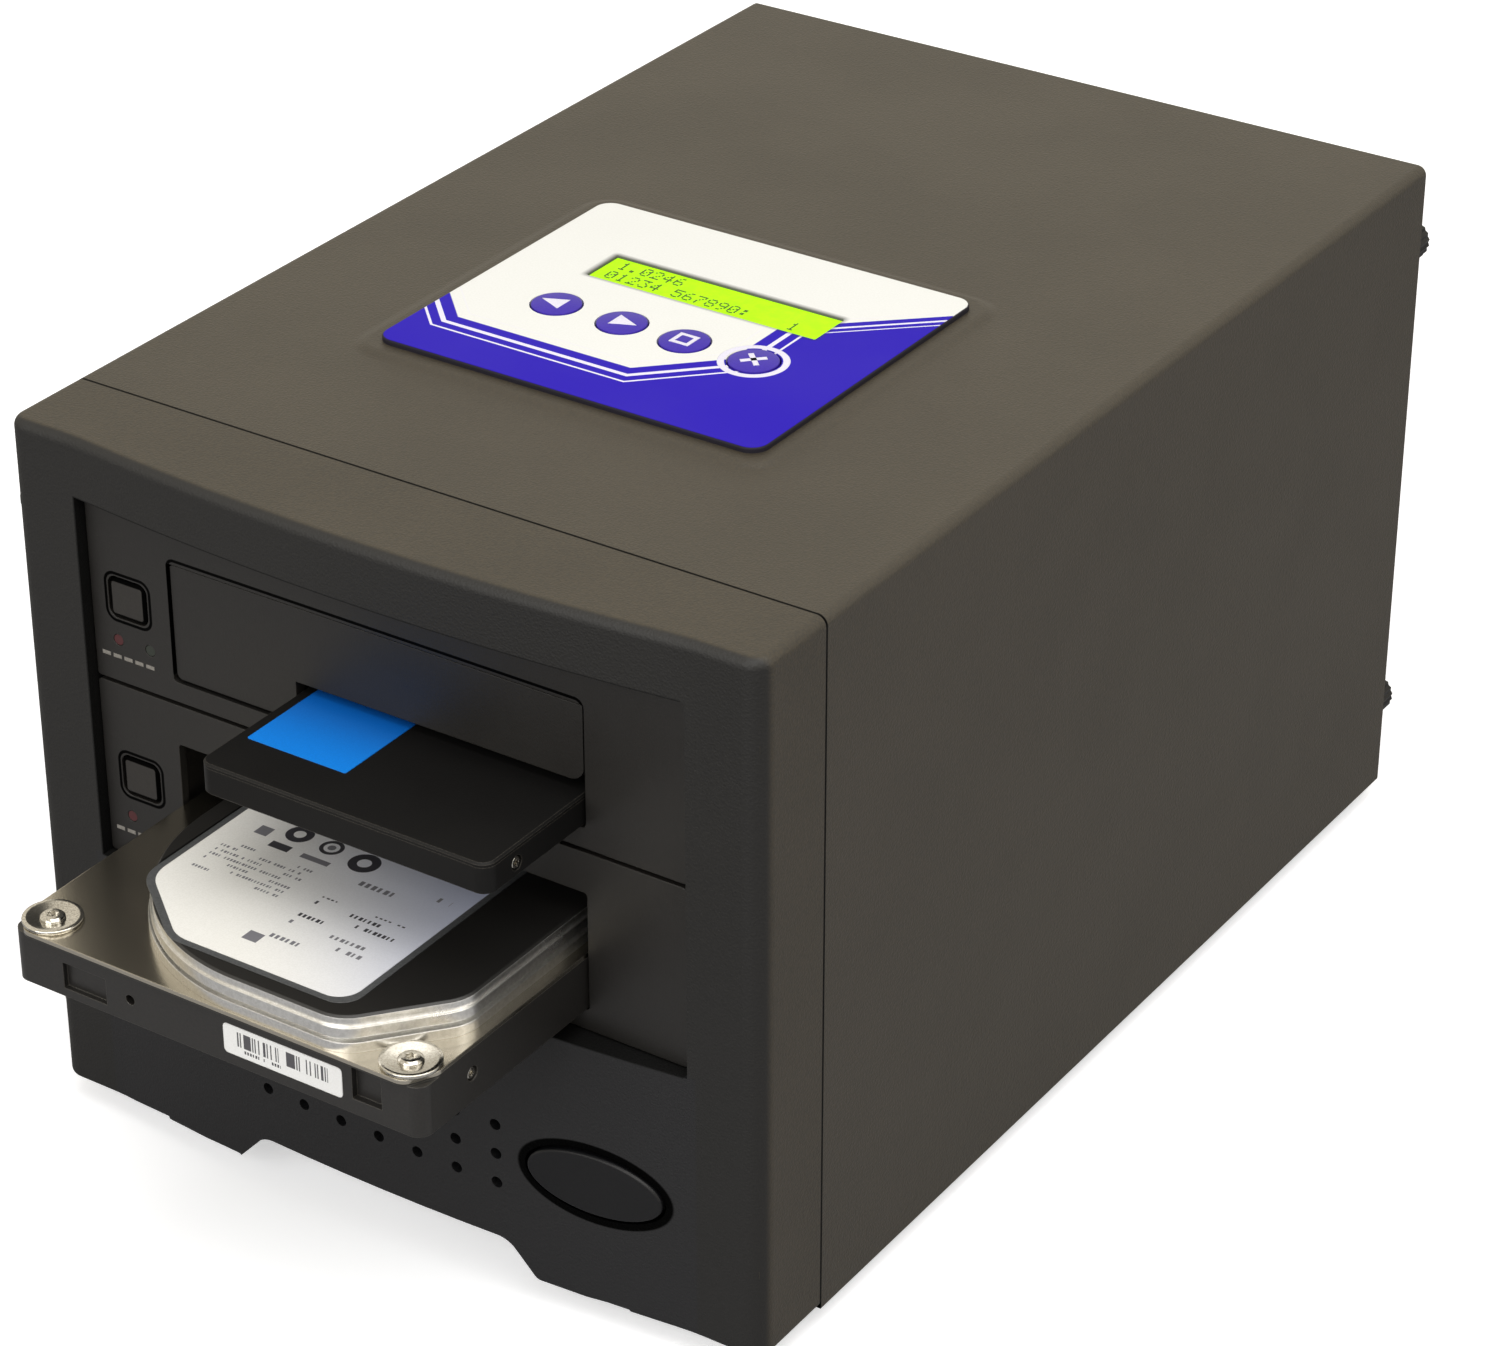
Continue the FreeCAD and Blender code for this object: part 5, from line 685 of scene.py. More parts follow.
class Masks:
    """Places where a finish changes, each read from the frame."""

    @staticmethod
    def lower_front() -> Mask:
        """The front panel below the bays."""
        low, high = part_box("front_bezel")
        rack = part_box("lower_rack_faceplate")[0]
        corner_post, overlap = 15 * MM, 0.2 * MM
        return inside(Vector((low.x + corner_post, low.y - MM, low.z - MM)),
                      Vector((high.x - corner_post, high.y, rack.z + overlap)), 0.6)

    @staticmethod
    def forward() -> Mask:
        """Painted shade: the faces that look forward, made darker than the top."""
        def mask(graph: Graph, place: Socket) -> Socket:
            """Writes the mask's nodes."""
            ahead = graph.times(graph.split(graph.normal())[1], -1.0)
            return graph.ramp(ahead, 0.08, 0.5)
        return mask

    @staticmethod
    def outline(low: Vector, high: Vector, corner: float, outer: float, inner: float,
                upright: bool = True) -> Mask:
        """A dark band along a rounded outline: painted shade in the grooves round the rack buttons and the
        upper door, and the dark line that frames the panel.

        Args:
            low: the outline's lowest corner.
            high: the outline's highest corner.
            corner: radius of its corners, in millimetres, more than the groove's inner reach.
            outer: how far the groove reaches outwards, in millimetres.
            inner: how far it reaches inwards, in millimetres.
            upright: whether the outline stands on the racks' face, and doesn't lie flat.
        """
        middle, half = (low + high) / 2, (high - low) / 2
        keep = Vector((1, 0, 1)) if upright else Vector((1, 1, 0))
        core = Vector([(half[i] - corner * MM) * keep[i] for i in range(3)])

        def mask(graph: Graph, place: Socket) -> Socket:
            """Writes the mask's nodes."""
            reach = graph.vector("ABSOLUTE", graph.scaled(place, keep, middle))
            past = graph.vector("MAXIMUM", graph.vector("SUBTRACT", reach, core), Vector())
            away = graph.minus(graph.vector("LENGTH", past), corner * MM)
            band = graph.times(graph.ramp(away, outer * MM, (outer - 0.2) * MM),
                               graph.ramp(away, -inner * MM, (0.2 - inner) * MM))
            if not upright:
                return band
            ahead = graph.math("LESS_THAN", graph.split(place)[1], high.y + MM)
            return graph.times(band, ahead)
        return mask

    @staticmethod
    def door_painted_shade() -> Mask:
        """Painted shade in the groove round the closed upper door, whose top lies below its hinge barrel."""
        low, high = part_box("upper_rack_door")
        barrel = 3.3 * MM
        return Masks.outline(low, Vector((high.x, high.y, high.z - barrel)), 1.5, 0.7, 0.2)

    @staticmethod
    def bay_painted_shade() -> Mask:
        """Painted shade on the walls of the opening that the racks sit in."""
        low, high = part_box("lower_rack_faceplate")[0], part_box("upper_rack_faceplate")[1]
        return inside(low - mm(0.9, 20, 0.9), high + mm(0.9, 20, 0.9), 0.3)

    @staticmethod
    def seam() -> Mask:
        """The dark line where the cover meets the front bezel."""
        low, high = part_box("top_cover")
        half = 0.35 * MM
        return inside(Vector((low.x - MM, low.y - half, low.z - MM)),
                      Vector((high.x + MM, low.y + half, high.z + MM)), 0.1)

    @staticmethod
    def power_button_painted_shade() -> Mask:
        """Painted shade in the groove round the power button."""
        low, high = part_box("power_button")
        middle, half = (low + high) / 2, (high - low) / 2
        groove = 1.0 * MM

        def mask(graph: Graph, place: Socket) -> Socket:
            """Writes the mask's nodes."""
            away = graph.scaled(place, (1 / (half.x + groove), 0.0, 1 / (half.z + groove)), middle)
            radius = graph.vector("LENGTH", away)
            front = graph.math("LESS_THAN", graph.split(place)[1], high.y)
            return graph.times(graph.ramp(radius, 1.02, 0.98), front)
        return mask

    @staticmethod
    def above(level: float) -> Mask:
        """Everything over a level, which is in metres."""
        def mask(graph: Graph, place: Socket) -> Socket:
            """Writes the mask's nodes."""
            height, soft = graph.split(place)[2], 0.05 * MM
            return graph.ramp(height, level - soft, level + soft)
        return mask

    @staticmethod
    def lamp(left: bool) -> Mask:
        """The left or the right lamp of a rack's lamp board."""
        low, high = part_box("lower_lamp_board")
        middle = (low.x + high.x) / 2
        sides = (low.x - MM, middle) if left else (middle, high.x + MM)
        return inside(Vector((sides[0], low.y - MM, 0.0)), Vector((sides[1], low.y + 9.0 * MM, 1.0)), 0.1)


class DriveLabelPrint:
    """The generic print of the hard drive's label: a grey border, rows of marks, plain discs and blocks."""

    def __init__(self) -> None:
        """Reads the label's place."""
        self.low, self.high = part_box("hdd_label")

    def rows(self, left: float, front: float, width: float, depth: float, pitch: float,
             filled: float) -> Mask:
        """Rows of marks in one field of the label.

        Args:
            left: field's distance from the label's left side, in millimetres.
            front: field's distance from the label's front, in millimetres.
            width: field's width, in millimetres.
            depth: field's depth, in millimetres.
            pitch: distance of the rows, in millimetres.
            filled: share of the words that are printed.
        """
        corner = Vector((self.low.x + left * MM, self.low.y + front * MM, 0.0))
        field_mask = inside(corner, corner + Vector((width * MM, depth * MM, 1.0)))

        def mask(graph: Graph, place: Socket) -> Socket:
            """Writes the mask's nodes."""
            moved = graph.split(graph.vector("SUBTRACT", place, corner))
            marks = graph.use(Effect.PRINT, Across=moved[0], Up=moved[1], Pitch=pitch * MM, Filled=filled)
            return graph.times(marks.outputs["Mask"], field_mask(graph, place))
        return mask

    def disc(self, left: float, front: float, radius: float, hole: float = 0.0) -> Mask:
        """A plain printed disc or ring, placed in millimetres from the label's left front corner."""
        middle = Vector((self.low.x + left * MM, self.low.y + front * MM, 0.0))

        def mask(graph: Graph, place: Socket) -> Socket:
            """Writes the mask's nodes."""
            flat = graph.vector("MULTIPLY", graph.vector("SUBTRACT", place, middle), Vector((1, 1, 0)))
            distance = graph.vector("LENGTH", flat)
            outer = graph.math("LESS_THAN", distance, radius * MM)
            return graph.times(outer, graph.math("GREATER_THAN", distance, hole * MM))
        return mask

    def block(self, left: float, front: float, width: float, depth: float) -> Mask:
        """A plain printed block, placed in millimetres from the label's left front corner."""
        corner = Vector((self.low.x + left * MM, self.low.y + front * MM, 0.0))
        return inside(corner, corner + Vector((width * MM, depth * MM, 1.0)))

    def tint(self) -> Mask:
        """Painted cool shade that grows towards the label's right rear."""
        def mask(graph: Graph, place: Socket) -> Socket:
            """Writes the mask's nodes."""
            x, y, _ = graph.split(graph.vector("SUBTRACT", place, self.low))
            slope = graph.plus(x, graph.times(y, 0.9))
            return graph.ramp(slope, 30 * MM, 120 * MM, 0.0, 0.85)
        return mask

    def layers(self) -> tuple[Layer, ...]:
        """The painted cool shade and all the printed fields, from the lowest to the uppermost."""
        ink, grey = "3c3b40", "77767b"
        return (
            # painted cool shade, under the print
            Layer("aab4d8", self.tint()),
            Layer(grey, self.rows(4.0, 21.0, 22.0, 13.0, 1.8, 0.8)),
            Layer(grey, self.rows(33.0, 9.0, 20.0, 8.0, 3.0, 0.65)),
            Layer(ink, self.rows(33.0, 18.0, 22.0, 9.0, 2.6, 0.6)),
            Layer(grey, self.rows(36.0, 33.0, 20.0, 8.0, 3.6, 0.7)),
            Layer(grey, self.rows(6.0, 50.0, 46.0, 5.0, 1.9, 0.9)),
            Layer(ink, self.disc(15.0, 42.5, 3.0, 1.3)),
            Layer(ink, self.disc(23.5, 42.0, 2.6, 1.7)),
            Layer(ink, self.disc(32.5, 41.0, 3.4, 1.5)),
            Layer(grey, self.disc(23.5, 42.0, 0.9)),
            Layer(ink, self.block(12.0, 35.6, 5.0, 2.2)),
            Layer(grey, self.block(20.0, 35.8, 7.0, 1.6)),
            Layer(grey, self.block(6.5, 38.0, 3.2, 3.2)),
            Layer(grey, self.block(29.0, 6.5, 3.6, 3.2)),
        )


class FrontLabelPrint:
    """The bars of the small label on the hard drive's front."""

    MARGIN, HEAD, GAP = 3.4 * MM, 1.1 * MM, 1.8 * MM
    GAP_START = 0.47                   # of the label's width
    FLOOR = 0.34                       # of the label's height

    def __init__(self) -> None:
        """Reads the label's place."""
        self.low, self.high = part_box("hdd_front_label")

    def bars(self) -> Mask:
        """Two groups of upright bars."""
        span = self.high - self.low
        floor, top = self.low.z + span.z * self.FLOOR, self.high.z - self.HEAD
        gap = self.low.x + span.x * self.GAP_START
        first = inside(Vector((self.low.x + self.MARGIN, -1.0, floor)), Vector((gap, 1.0, top)))
        second = inside(Vector((gap + self.GAP, -1.0, floor)), Vector((self.high.x - self.MARGIN, 1.0, top)))

        def mask(graph: Graph, place: Socket) -> Socket:
            """Writes the mask's nodes."""
            x = graph.split(place)[0]
            stripes = graph.use(Effect.BARS, Across=x, Pitch=0.3 * MM, Filled=0.45)
            field_mask = graph.plus(first(graph, place), second(graph, place), clamp=True)
            return graph.times(stripes.outputs["Mask"], field_mask)
        return mask

    def line(self) -> Mask:
        """One fine row of marks under the bars."""
        low, high = self.low + mm(5, 0, 0.7), self.low + mm(14, 0, 1.9)
        low.y, high.y = -1.0, 1.0
        field_mask = inside(low, high)

        def mask(graph: Graph, place: Socket) -> Socket:
            """Writes the mask's nodes."""
            x, _, z = graph.split(graph.vector("SUBTRACT", place, low))
            marks = graph.use(Effect.PRINT, Across=x, Up=z, Pitch=1.6 * MM, Filled=0.9)
            return graph.times(marks.outputs["Mask"], field_mask(graph, place))
        return mask


class PanelPrint:
    """The control panel's print: a pale field with slanted corners, and a violet border with thin stripes;
    with painted shade round the display window.
    """

    FIELD_FRONT = 17.0
    FIELD_RIGHT = 68.0
    SLANT_LEFT = 9.0
    SLANT_RIGHT = 15.0
    RISE_START = 50.0
    RISE_SLOPE = 1.1
    STRIPES = ((3.2, 0.55), (6.0, 0.28), (-2.6, 0.2))   # middle outside the field, and half width
    INNER_TONE = 0.25                  # of the stripe within the field

    def __init__(self) -> None:
        """Reads the panel's place."""
        self.low, self.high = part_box("panel_plate")

    def distance(self, graph: Graph, place: Socket) -> Socket:
        """Distance outside the pale field, in millimetres, and below zero in it."""
        u, v, _ = graph.split(graph.scaled(place, (1000, 1000, 1000), self.low))
        front = graph.minus(self.FIELD_FRONT, v)
        rise = graph.math("MAXIMUM", graph.minus(v, self.RISE_START), 0.0)
        right = graph.minus(graph.minus(u, self.FIELD_RIGHT), graph.times(rise, self.RISE_SLOPE))
        both = graph.plus(graph.plus(front, right), self.SLANT_RIGHT)
        corner = graph.times(both, DIAGONAL)
        slant = graph.minus(graph.plus(front, self.SLANT_LEFT), u)
        left = graph.times(slant, DIAGONAL)
        return graph.math("MAXIMUM", graph.math("MAXIMUM", front, right), graph.math("MAXIMUM", corner, left))

    def violet(self, graph: Graph, place: Socket) -> Socket:
        """The violet border."""
        return graph.ramp(self.distance(graph, place), -0.12, 0.12)

    def stripes(self, graph: Graph, place: Socket) -> Socket:
        """Two thin stripes that run along the pale field, and one within it."""
        away = self.distance(graph, place)
        bands = [graph.math("COMPARE", away, middle) for middle, _ in self.STRIPES]
        for band, (_, half) in zip(bands, self.STRIPES):
            band.node.inputs[2].default_value = half
        outer = graph.plus(bands[0], bands[1])
        return graph.plus(outer, graph.times(bands[2], self.INNER_TONE), clamp=True)

    def border(self, graph: Graph, place: Socket) -> Socket:
        """The dark line that frames the panel."""
        return Masks.outline(self.low, self.high, 4.0, 1.0, 0.4, upright=False)(graph, place)

    def window_painted_shade(self, graph: Graph, place: Socket) -> Socket:
        """Painted shade round the display window, wider at its left and rear."""
        low, high = DisplayUnit.window()
        node = graph.use(Effect.WINDOW, Place=place, Low=low - mm(1.6, 1.0, 50), High=high + mm(1.0, 1.6, 50),
                         Soft=1.5 * MM)
        return graph.times(node.outputs["Mask"], 0.85)


class Palette:
    """Every finish of the duplicator, by the slot or the node that wears it."""

    def __init__(self) -> None:
        """Sets out the finishes."""
        casting_top, cover_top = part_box("hdd_base")[1].z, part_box("hdd_cover")[1].z
        label, front_label, panel = DriveLabelPrint(), FrontLabelPrint(), PanelPrint()
        sticker_low, sticker_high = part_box("ssd_sticker")

        def sticker_fade(graph: Graph, place: Socket) -> Socket:
            """Deepens towards the sticker's rear."""
            return graph.ramp(graph.split(place)[1], sticker_low.y, sticker_high.y, 0.0, 0.9)

        self.slots: dict[str, Finish] = {
            # bezel layers: painted shade on its front faces, on the walls round the bays and in the power
            # button's groove; the seam is a dark joint
            "bezel": Finish("bezel_moulding", "3a3327", "2c2820", 0.5, 0.03, grain=0.55, relief=0.5, edge=0.0,
                            specular=0.45,
                            layers=(Layer("0d0c0b", Masks.forward(), 0.6),
                                    Layer("0f0f12", Masks.lower_front()),
                                    Layer("0a0a0a", Masks.bay_painted_shade(), 0.7, 0.6),
                                    Layer("080808", Masks.seam(), 0.7, 1.0),
                                    Layer("050505", Masks.power_button_painted_shade(), 0.7, 1.0))),
            "cover_paint": Finish("case_powder_coat", "3a3327", "2c2820", 0.48, 0.03, grain=0.5, relief=0.6,
                                  edge=0.0, layers=(Layer("080808", Masks.seam(), 0.7, 1.0),)),
            "power_key": Finish("satin_black_key", "121214", "0d0d0f", 0.36, specular=0.3, relief=0.02,
                                edge=0.3),
            "switch_body": Finish("switch_nylon", "1c1c1e", "141416", 0.5),
            "steel_sheet": Finish("zinc_plated_sheet", "c3c5c6", "a9acae", 0.42, 0.16, metallic=1.0,
                                  grain=4.0, relief=0.02, edge=0.2),
            "black_screw": Finish("blackened_screw", "1d1d1e", "141415", 0.38, metallic=0.6, grain=0.4,
                                  edge_wear_and_highlight="55534f"),
            "foot_rubber": Finish("foot_rubber", "1a1a1a", "121212", 0.8, grain=0.4, relief=0.2,
                                  specular=0.3),
            "zinc": Finish("zinc_fastener", "c4c2bb", "9c9a94", 0.3, metallic=1.0, grain=0.5, relief=0.04),
            # painted shade in the grooves round the rack buttons and the upper door, and round each rack
            # button's edge
            "rack_black": Finish("rack_moulding", "161412", "12100e", 0.5, grain=0.5, relief=0.12, edge=0.3,
                                 edge_wear_and_highlight="2c2924", layers=(*self.rack_button_painted_shades("050505", 0.7, 0.2),
                                                        Layer("050505", Masks.door_painted_shade(), 0.7, 1.0))),
            "rack_key": Finish("rack_key", "26231f", "201d1a", 0.42, grain=0.5, relief=0.05, edge=0.5,
                               edge_wear_and_highlight="33302a", layers=self.rack_button_painted_shades("060606", 1.0, 1.7)),
            "lamp_board": Finish("lamp_board", "1f4a2a", "173a20", 0.45, edge=0.1,
                                 layers=(Layer("481a1c", Masks.lamp(True), 0.3),
                                         Layer("262b23", Masks.lamp(False), 0.3))),
            "circuit_board": Finish("circuit_board", "1c5a33", "15472a", 0.38, grain=1.2, relief=0.08,
                                    edge=0.1),
            "plug_black": Finish("connector_nylon", "151515", "0f0f10", 0.45),
            "drive_casting": Finish("drive_casting", "242220", "1a1918", 0.4, grain=0.5, relief=0.05,
                                    edge=0.3, edge_wear_and_highlight="5a564e",
                                    layers=(Layer("b9b3a6", Masks.above(casting_top - 0.9 * MM),
                                                  0.22, 1.0),)),
            "drive_cover": Finish("drive_cover", "e4e3e1", "d2d1ce", 0.3, 0.06, metallic=1.0, grain=0.7,
                                  relief=0.02, edge=0.3,
                                  layers=(Layer("161514", Masks.above(cover_top - 0.45 * MM), 0.4, 0.0),)),
            "paper_label": Finish("drive_label_paper", "f2f0ea", "e9e7e0", 0.42, grain=0.3, relief=0.02,
                                  layers=label.layers()),
            "bright_screw": Finish("bright_screw", "d2cfc7", "aeaaa2", 0.16, metallic=1.0, grain=0.4,
                                   relief=0.02, edge=0.1),
            "ssd_black": Finish("solid_state_case", "0f0e0e", "0b0b0b", 0.5, grain=0.35, relief=0.12,
                                specular=0.18, edge=0.25, edge_wear_and_highlight="57524a"),
            "blue_sticker": Finish("blue_sticker", "0b83e6", "0a7bdc", 0.35, grain=0.3, relief=0.01,
                                   layers=(Layer("0a50ad", sticker_fade),)),
            "panel_print": Finish("panel_film", "ecece8", "e7e7e2", 0.42, grain=0.4, relief=0.03, edge=0.0,
                                  specular=0.08,
                                  layers=(Layer("270fae", panel.violet), Layer("e6e3f2", panel.stripes),
                                          Layer("26242b", panel.border), Layer("24261f", panel.window_painted_shade))),
            "display": Finish("display_module", "1c2418", "161c14", 0.35),
            "panel_keys": Finish("violet_key", "3c24a8", "331d9c", 0.36, specular=0.25, grain=0.4,
                                 relief=0.02, edge=0.4),
            "heatsink": Finish("black_anodised", "1b1c1e", "131416", 0.4, metallic=0.4,
                               brush=Vector((30, 30, 4000))),
            "brass_post": Finish("brass_post", "c9a85a", "a98a44", 0.3, metallic=1.0, grain=0.5),
            "fan_plastic": Finish("fan_plastic", "1a1a1b", "131314", 0.45, grain=0.5, relief=0.04),
            "guard_wire": Finish("plated_wire", "cfcdc8", "b2b0ab", 0.22, metallic=1.0, grain=0.6,
                                 relief=0.03, edge=0.05),
            "spring_steel": Finish("spring_steel", "b5b1a8", "928e86", 0.25, metallic=1.0, grain=0.4,
                                   edge=0.05),
        }
        self.nodes: dict[str, Finish] = {
            "hdd_front_label": Finish("front_label_paper", "fbfbfa", "f4f4f2", 0.45, grain=0.3, relief=0.02,
                                      layers=(Layer("535256", front_label.bars()),
                                              Layer("4b4a4e", front_label.line()))),
        }
        self.extra: dict[str, Finish] = {
            "display_glow": Finish("display_glow", "a8e604", "9cdc02", 0.4, glow=0.42, specular=0.1,
                                   grain=2.0, relief=0.0, edge=0.0),
            "display_ink": Finish("display_ink", "2f5a12", "274d0f", 0.5, grain=2.0, relief=0.0),
            "white_mark": Finish("white_mark", "e9e6f4", "dedbec", 0.45, grain=0.3, relief=0.02),
            "grey_mark": Finish("grey_mark", "8d8982", "7b7771", 0.55, grain=0.3, relief=0.02),
            "label_ring": Finish("label_ring", "6e6f70", "5e6061", 0.35, metallic=0.5, grain=0.5,
                                 relief=0.03),
        }
        self.made: dict[str, bpy.types.Material] = {}

    @staticmethod
    def rack_button_painted_shades(tone: str, outer: float, inner: float) -> tuple[Layer, ...]:
        """Painted shade in the grooves round both rack buttons, each with its reach in millimetres."""
        corner = 2.2
        return tuple(Layer(tone, Masks.outline(*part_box(node), corner, outer, inner), 0.7, 1.0)
                     for node in ("upper_rack_button", "lower_rack_button"))

    def material(self, finish: Finish) -> bpy.types.Material:
        """Gives the material of a finish, building it at its first use."""
        if finish.name not in self.made:
            self.made[finish.name] = finish.build()
        return self.made[finish.name]

    def dress_frame(self) -> None:
        """Puts a finish on every node of the frame, by its slot."""
        for name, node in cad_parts.items():
            for spot in node.material_slots:
                base = spot.material.name.split(".")[0]
                finish = self.nodes.get(name, self.slots[base])
                spot.material = self.material(finish)
            log.info("frame node %s dressed", name)

    def dress(self, piece: bpy.types.Object, key: str, body: str) -> bpy.types.Object:
        """Finishes a new piece and hangs it on its body.

        Args:
            piece: the piece, with its place in its mesh.
            key: the finish, a slot's or an extra one's.
            body: the body that the piece rides on.

        Returns:
            The same piece.
        """
        finish = self.extra.get(key) or self.slots[key]
        piece.data.materials.clear()
        piece.data.materials.append(self.material(finish))
        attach(piece, body)
        log.info("piece %s on %s, %d faces", piece.name, body, len(piece.data.polygons))
        return piece


# ---- Fine pieces ---------------------------------------------------------------------------------------
class Drive(Enum):
    """The recess in a screw's head."""

    CROSS = "cross"
    STAR = "star"


@dataclass
class Screw:
    """A pan-head screw, made facing up with the top of its head at the origin."""

    radius: float
    height: float
    drive: Drive
    shank_radius: float
    shank: float

    RECESS_DEPTH = 0.6                 # of the head's height
    CROSS_ARM, CROSS_HALF = 0.55, 0.14   # reach and half width of an arm, of the head's radius
    STAR_REACH, STAR_WAIST = 0.5, 0.68   # of the head's radius, and of the reach
    STAR_TURN = 60                     # degrees from one point of the star to the next
    FLAT = 0.22                        # inset of the head's flat top, of its radius
    RIM_DROP = 0.42                    # of the head's height
    RIM_TAPER = 0.985
    ROUND = 0.12                       # of the head's height

    def recess(self) -> bpy.types.Object:
        """Makes the shape that the driver fits in."""
        depth = self.height * self.RECESS_DEPTH
        middle = Vector((0, 0, -depth / 2 + 0.1 * MM))
        if self.drive is Drive.CROSS:
            arm, half = self.radius * self.CROSS_ARM, self.radius * self.CROSS_HALF
            first, second = [Workbench.slab(middle - reach, middle + reach)
                             for reach in (Vector((arm, half, depth / 2)), Vector((half, arm, depth / 2)))]
            Workbench.boolean(first, second, "UNION")
            return first
        star = Workbench.drum(middle, self.radius * self.STAR_REACH, depth, 12)
        with Workbench.editing(star):
            bpy.ops.mesh.select_mode(type="VERT")
            mesh = bmesh.from_edit_mesh(star.data)
            for vertex in mesh.verts:
                angle = math.degrees(math.atan2(vertex.co.y, vertex.co.x)) % self.STAR_TURN
                vertex.select_set(min(angle, self.STAR_TURN - angle) > self.STAR_TURN / 4)
            bmesh.update_edit_mesh(star.data)
            bpy.ops.transform.resize(value=(self.STAR_WAIST, self.STAR_WAIST, 1), center_override=(0, 0, 0))
        return star

    def build(self) -> bpy.types.Object:
        """Makes the screw.

        Returns:
            The screw at the origin, facing up.
        """
        head = Workbench.drum(Vector((0, 0, -self.height / 2)), self.radius, self.height, 40)
        with Workbench.editing(head):
            Workbench.pick_faces(head, lambda face: face.normal.z > LEVEL)
            bpy.ops.mesh.inset(thickness=self.radius * self.FLAT)
            Workbench.pick_faces(head, lambda face: face.normal.z < -LEVEL)
            bpy.ops.mesh.inset(thickness=self.radius - self.shank_radius)
            bpy.ops.mesh.extrude_region_move(TRANSFORM_OT_translate={"value": (0, 0, -self.shank)})
            bpy.ops.mesh.select_mode(type="VERT")
            mesh = bmesh.from_edit_mesh(head.data)
            for vertex in mesh.verts:
                reach = math.hypot(vertex.co.x, vertex.co.y)
                vertex.select_set(vertex.co.z > -0.01 * MM and reach > self.radius * 0.9)
            bmesh.update_edit_mesh(head.data)
            bpy.ops.transform.translate(value=(0, 0, -self.height * self.RIM_DROP))
            bpy.ops.transform.resize(value=(self.RIM_TAPER, self.RIM_TAPER, 1), center_override=(0, 0, 0))
        Workbench.bevel(head, self.height * self.ROUND, 2, 25)
        Workbench.boolean(head, self.recess(), "DIFFERENCE")
        Workbench.outward(head)
        Workbench.smooth(head, 35)
        return head


@dataclass
class ScrewSet:
    """Screws that take the places of a node's solids."""

    node: str
    name: str
    drive: Drive
    finish: str
    body: str
    face: Callable[[Vector, Vector], Vector]

    HEAD_SHARE = 0.9                   # most of a solid's length that the head takes
    HEAD_HEIGHT = 0.75                 # of the head's radius
    SHANK = 0.5                        # of the head's radius

    def build(self, palette: Palette) -> None:
        """Makes one screw for each solid of the node and joins them.

        Args:
            palette: the finishes.
        """
        made: list[bpy.types.Object] = []
        for low, high in solids_of(self.node):
            axis = self.face(low, high)
            along = max(range(3), key=lambda i: abs(axis[i]))
            across = [i for i in range(3) if i != along]
            span = high - low
            radius = min(span[across[0]], span[across[1]]) / 2
            top = (low + high) / 2
            top[along] = high[along] if axis[along] > 0 else low[along]
            length = span[along]
            height = min(length * self.HEAD_SHARE, radius * self.HEAD_HEIGHT)
            shank = max(length - height, 0.1 * MM)
            screw = Screw(radius, height, self.drive, radius * self.SHANK, shank).build()
            place = Matrix.Translation(top) @ facing(axis)
            made.append(Workbench.copy(screw, place))
            Workbench.discard(screw)
        piece = Workbench.join(made, self.name)
        palette.dress(piece, self.finish, self.body)
        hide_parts(self.node)


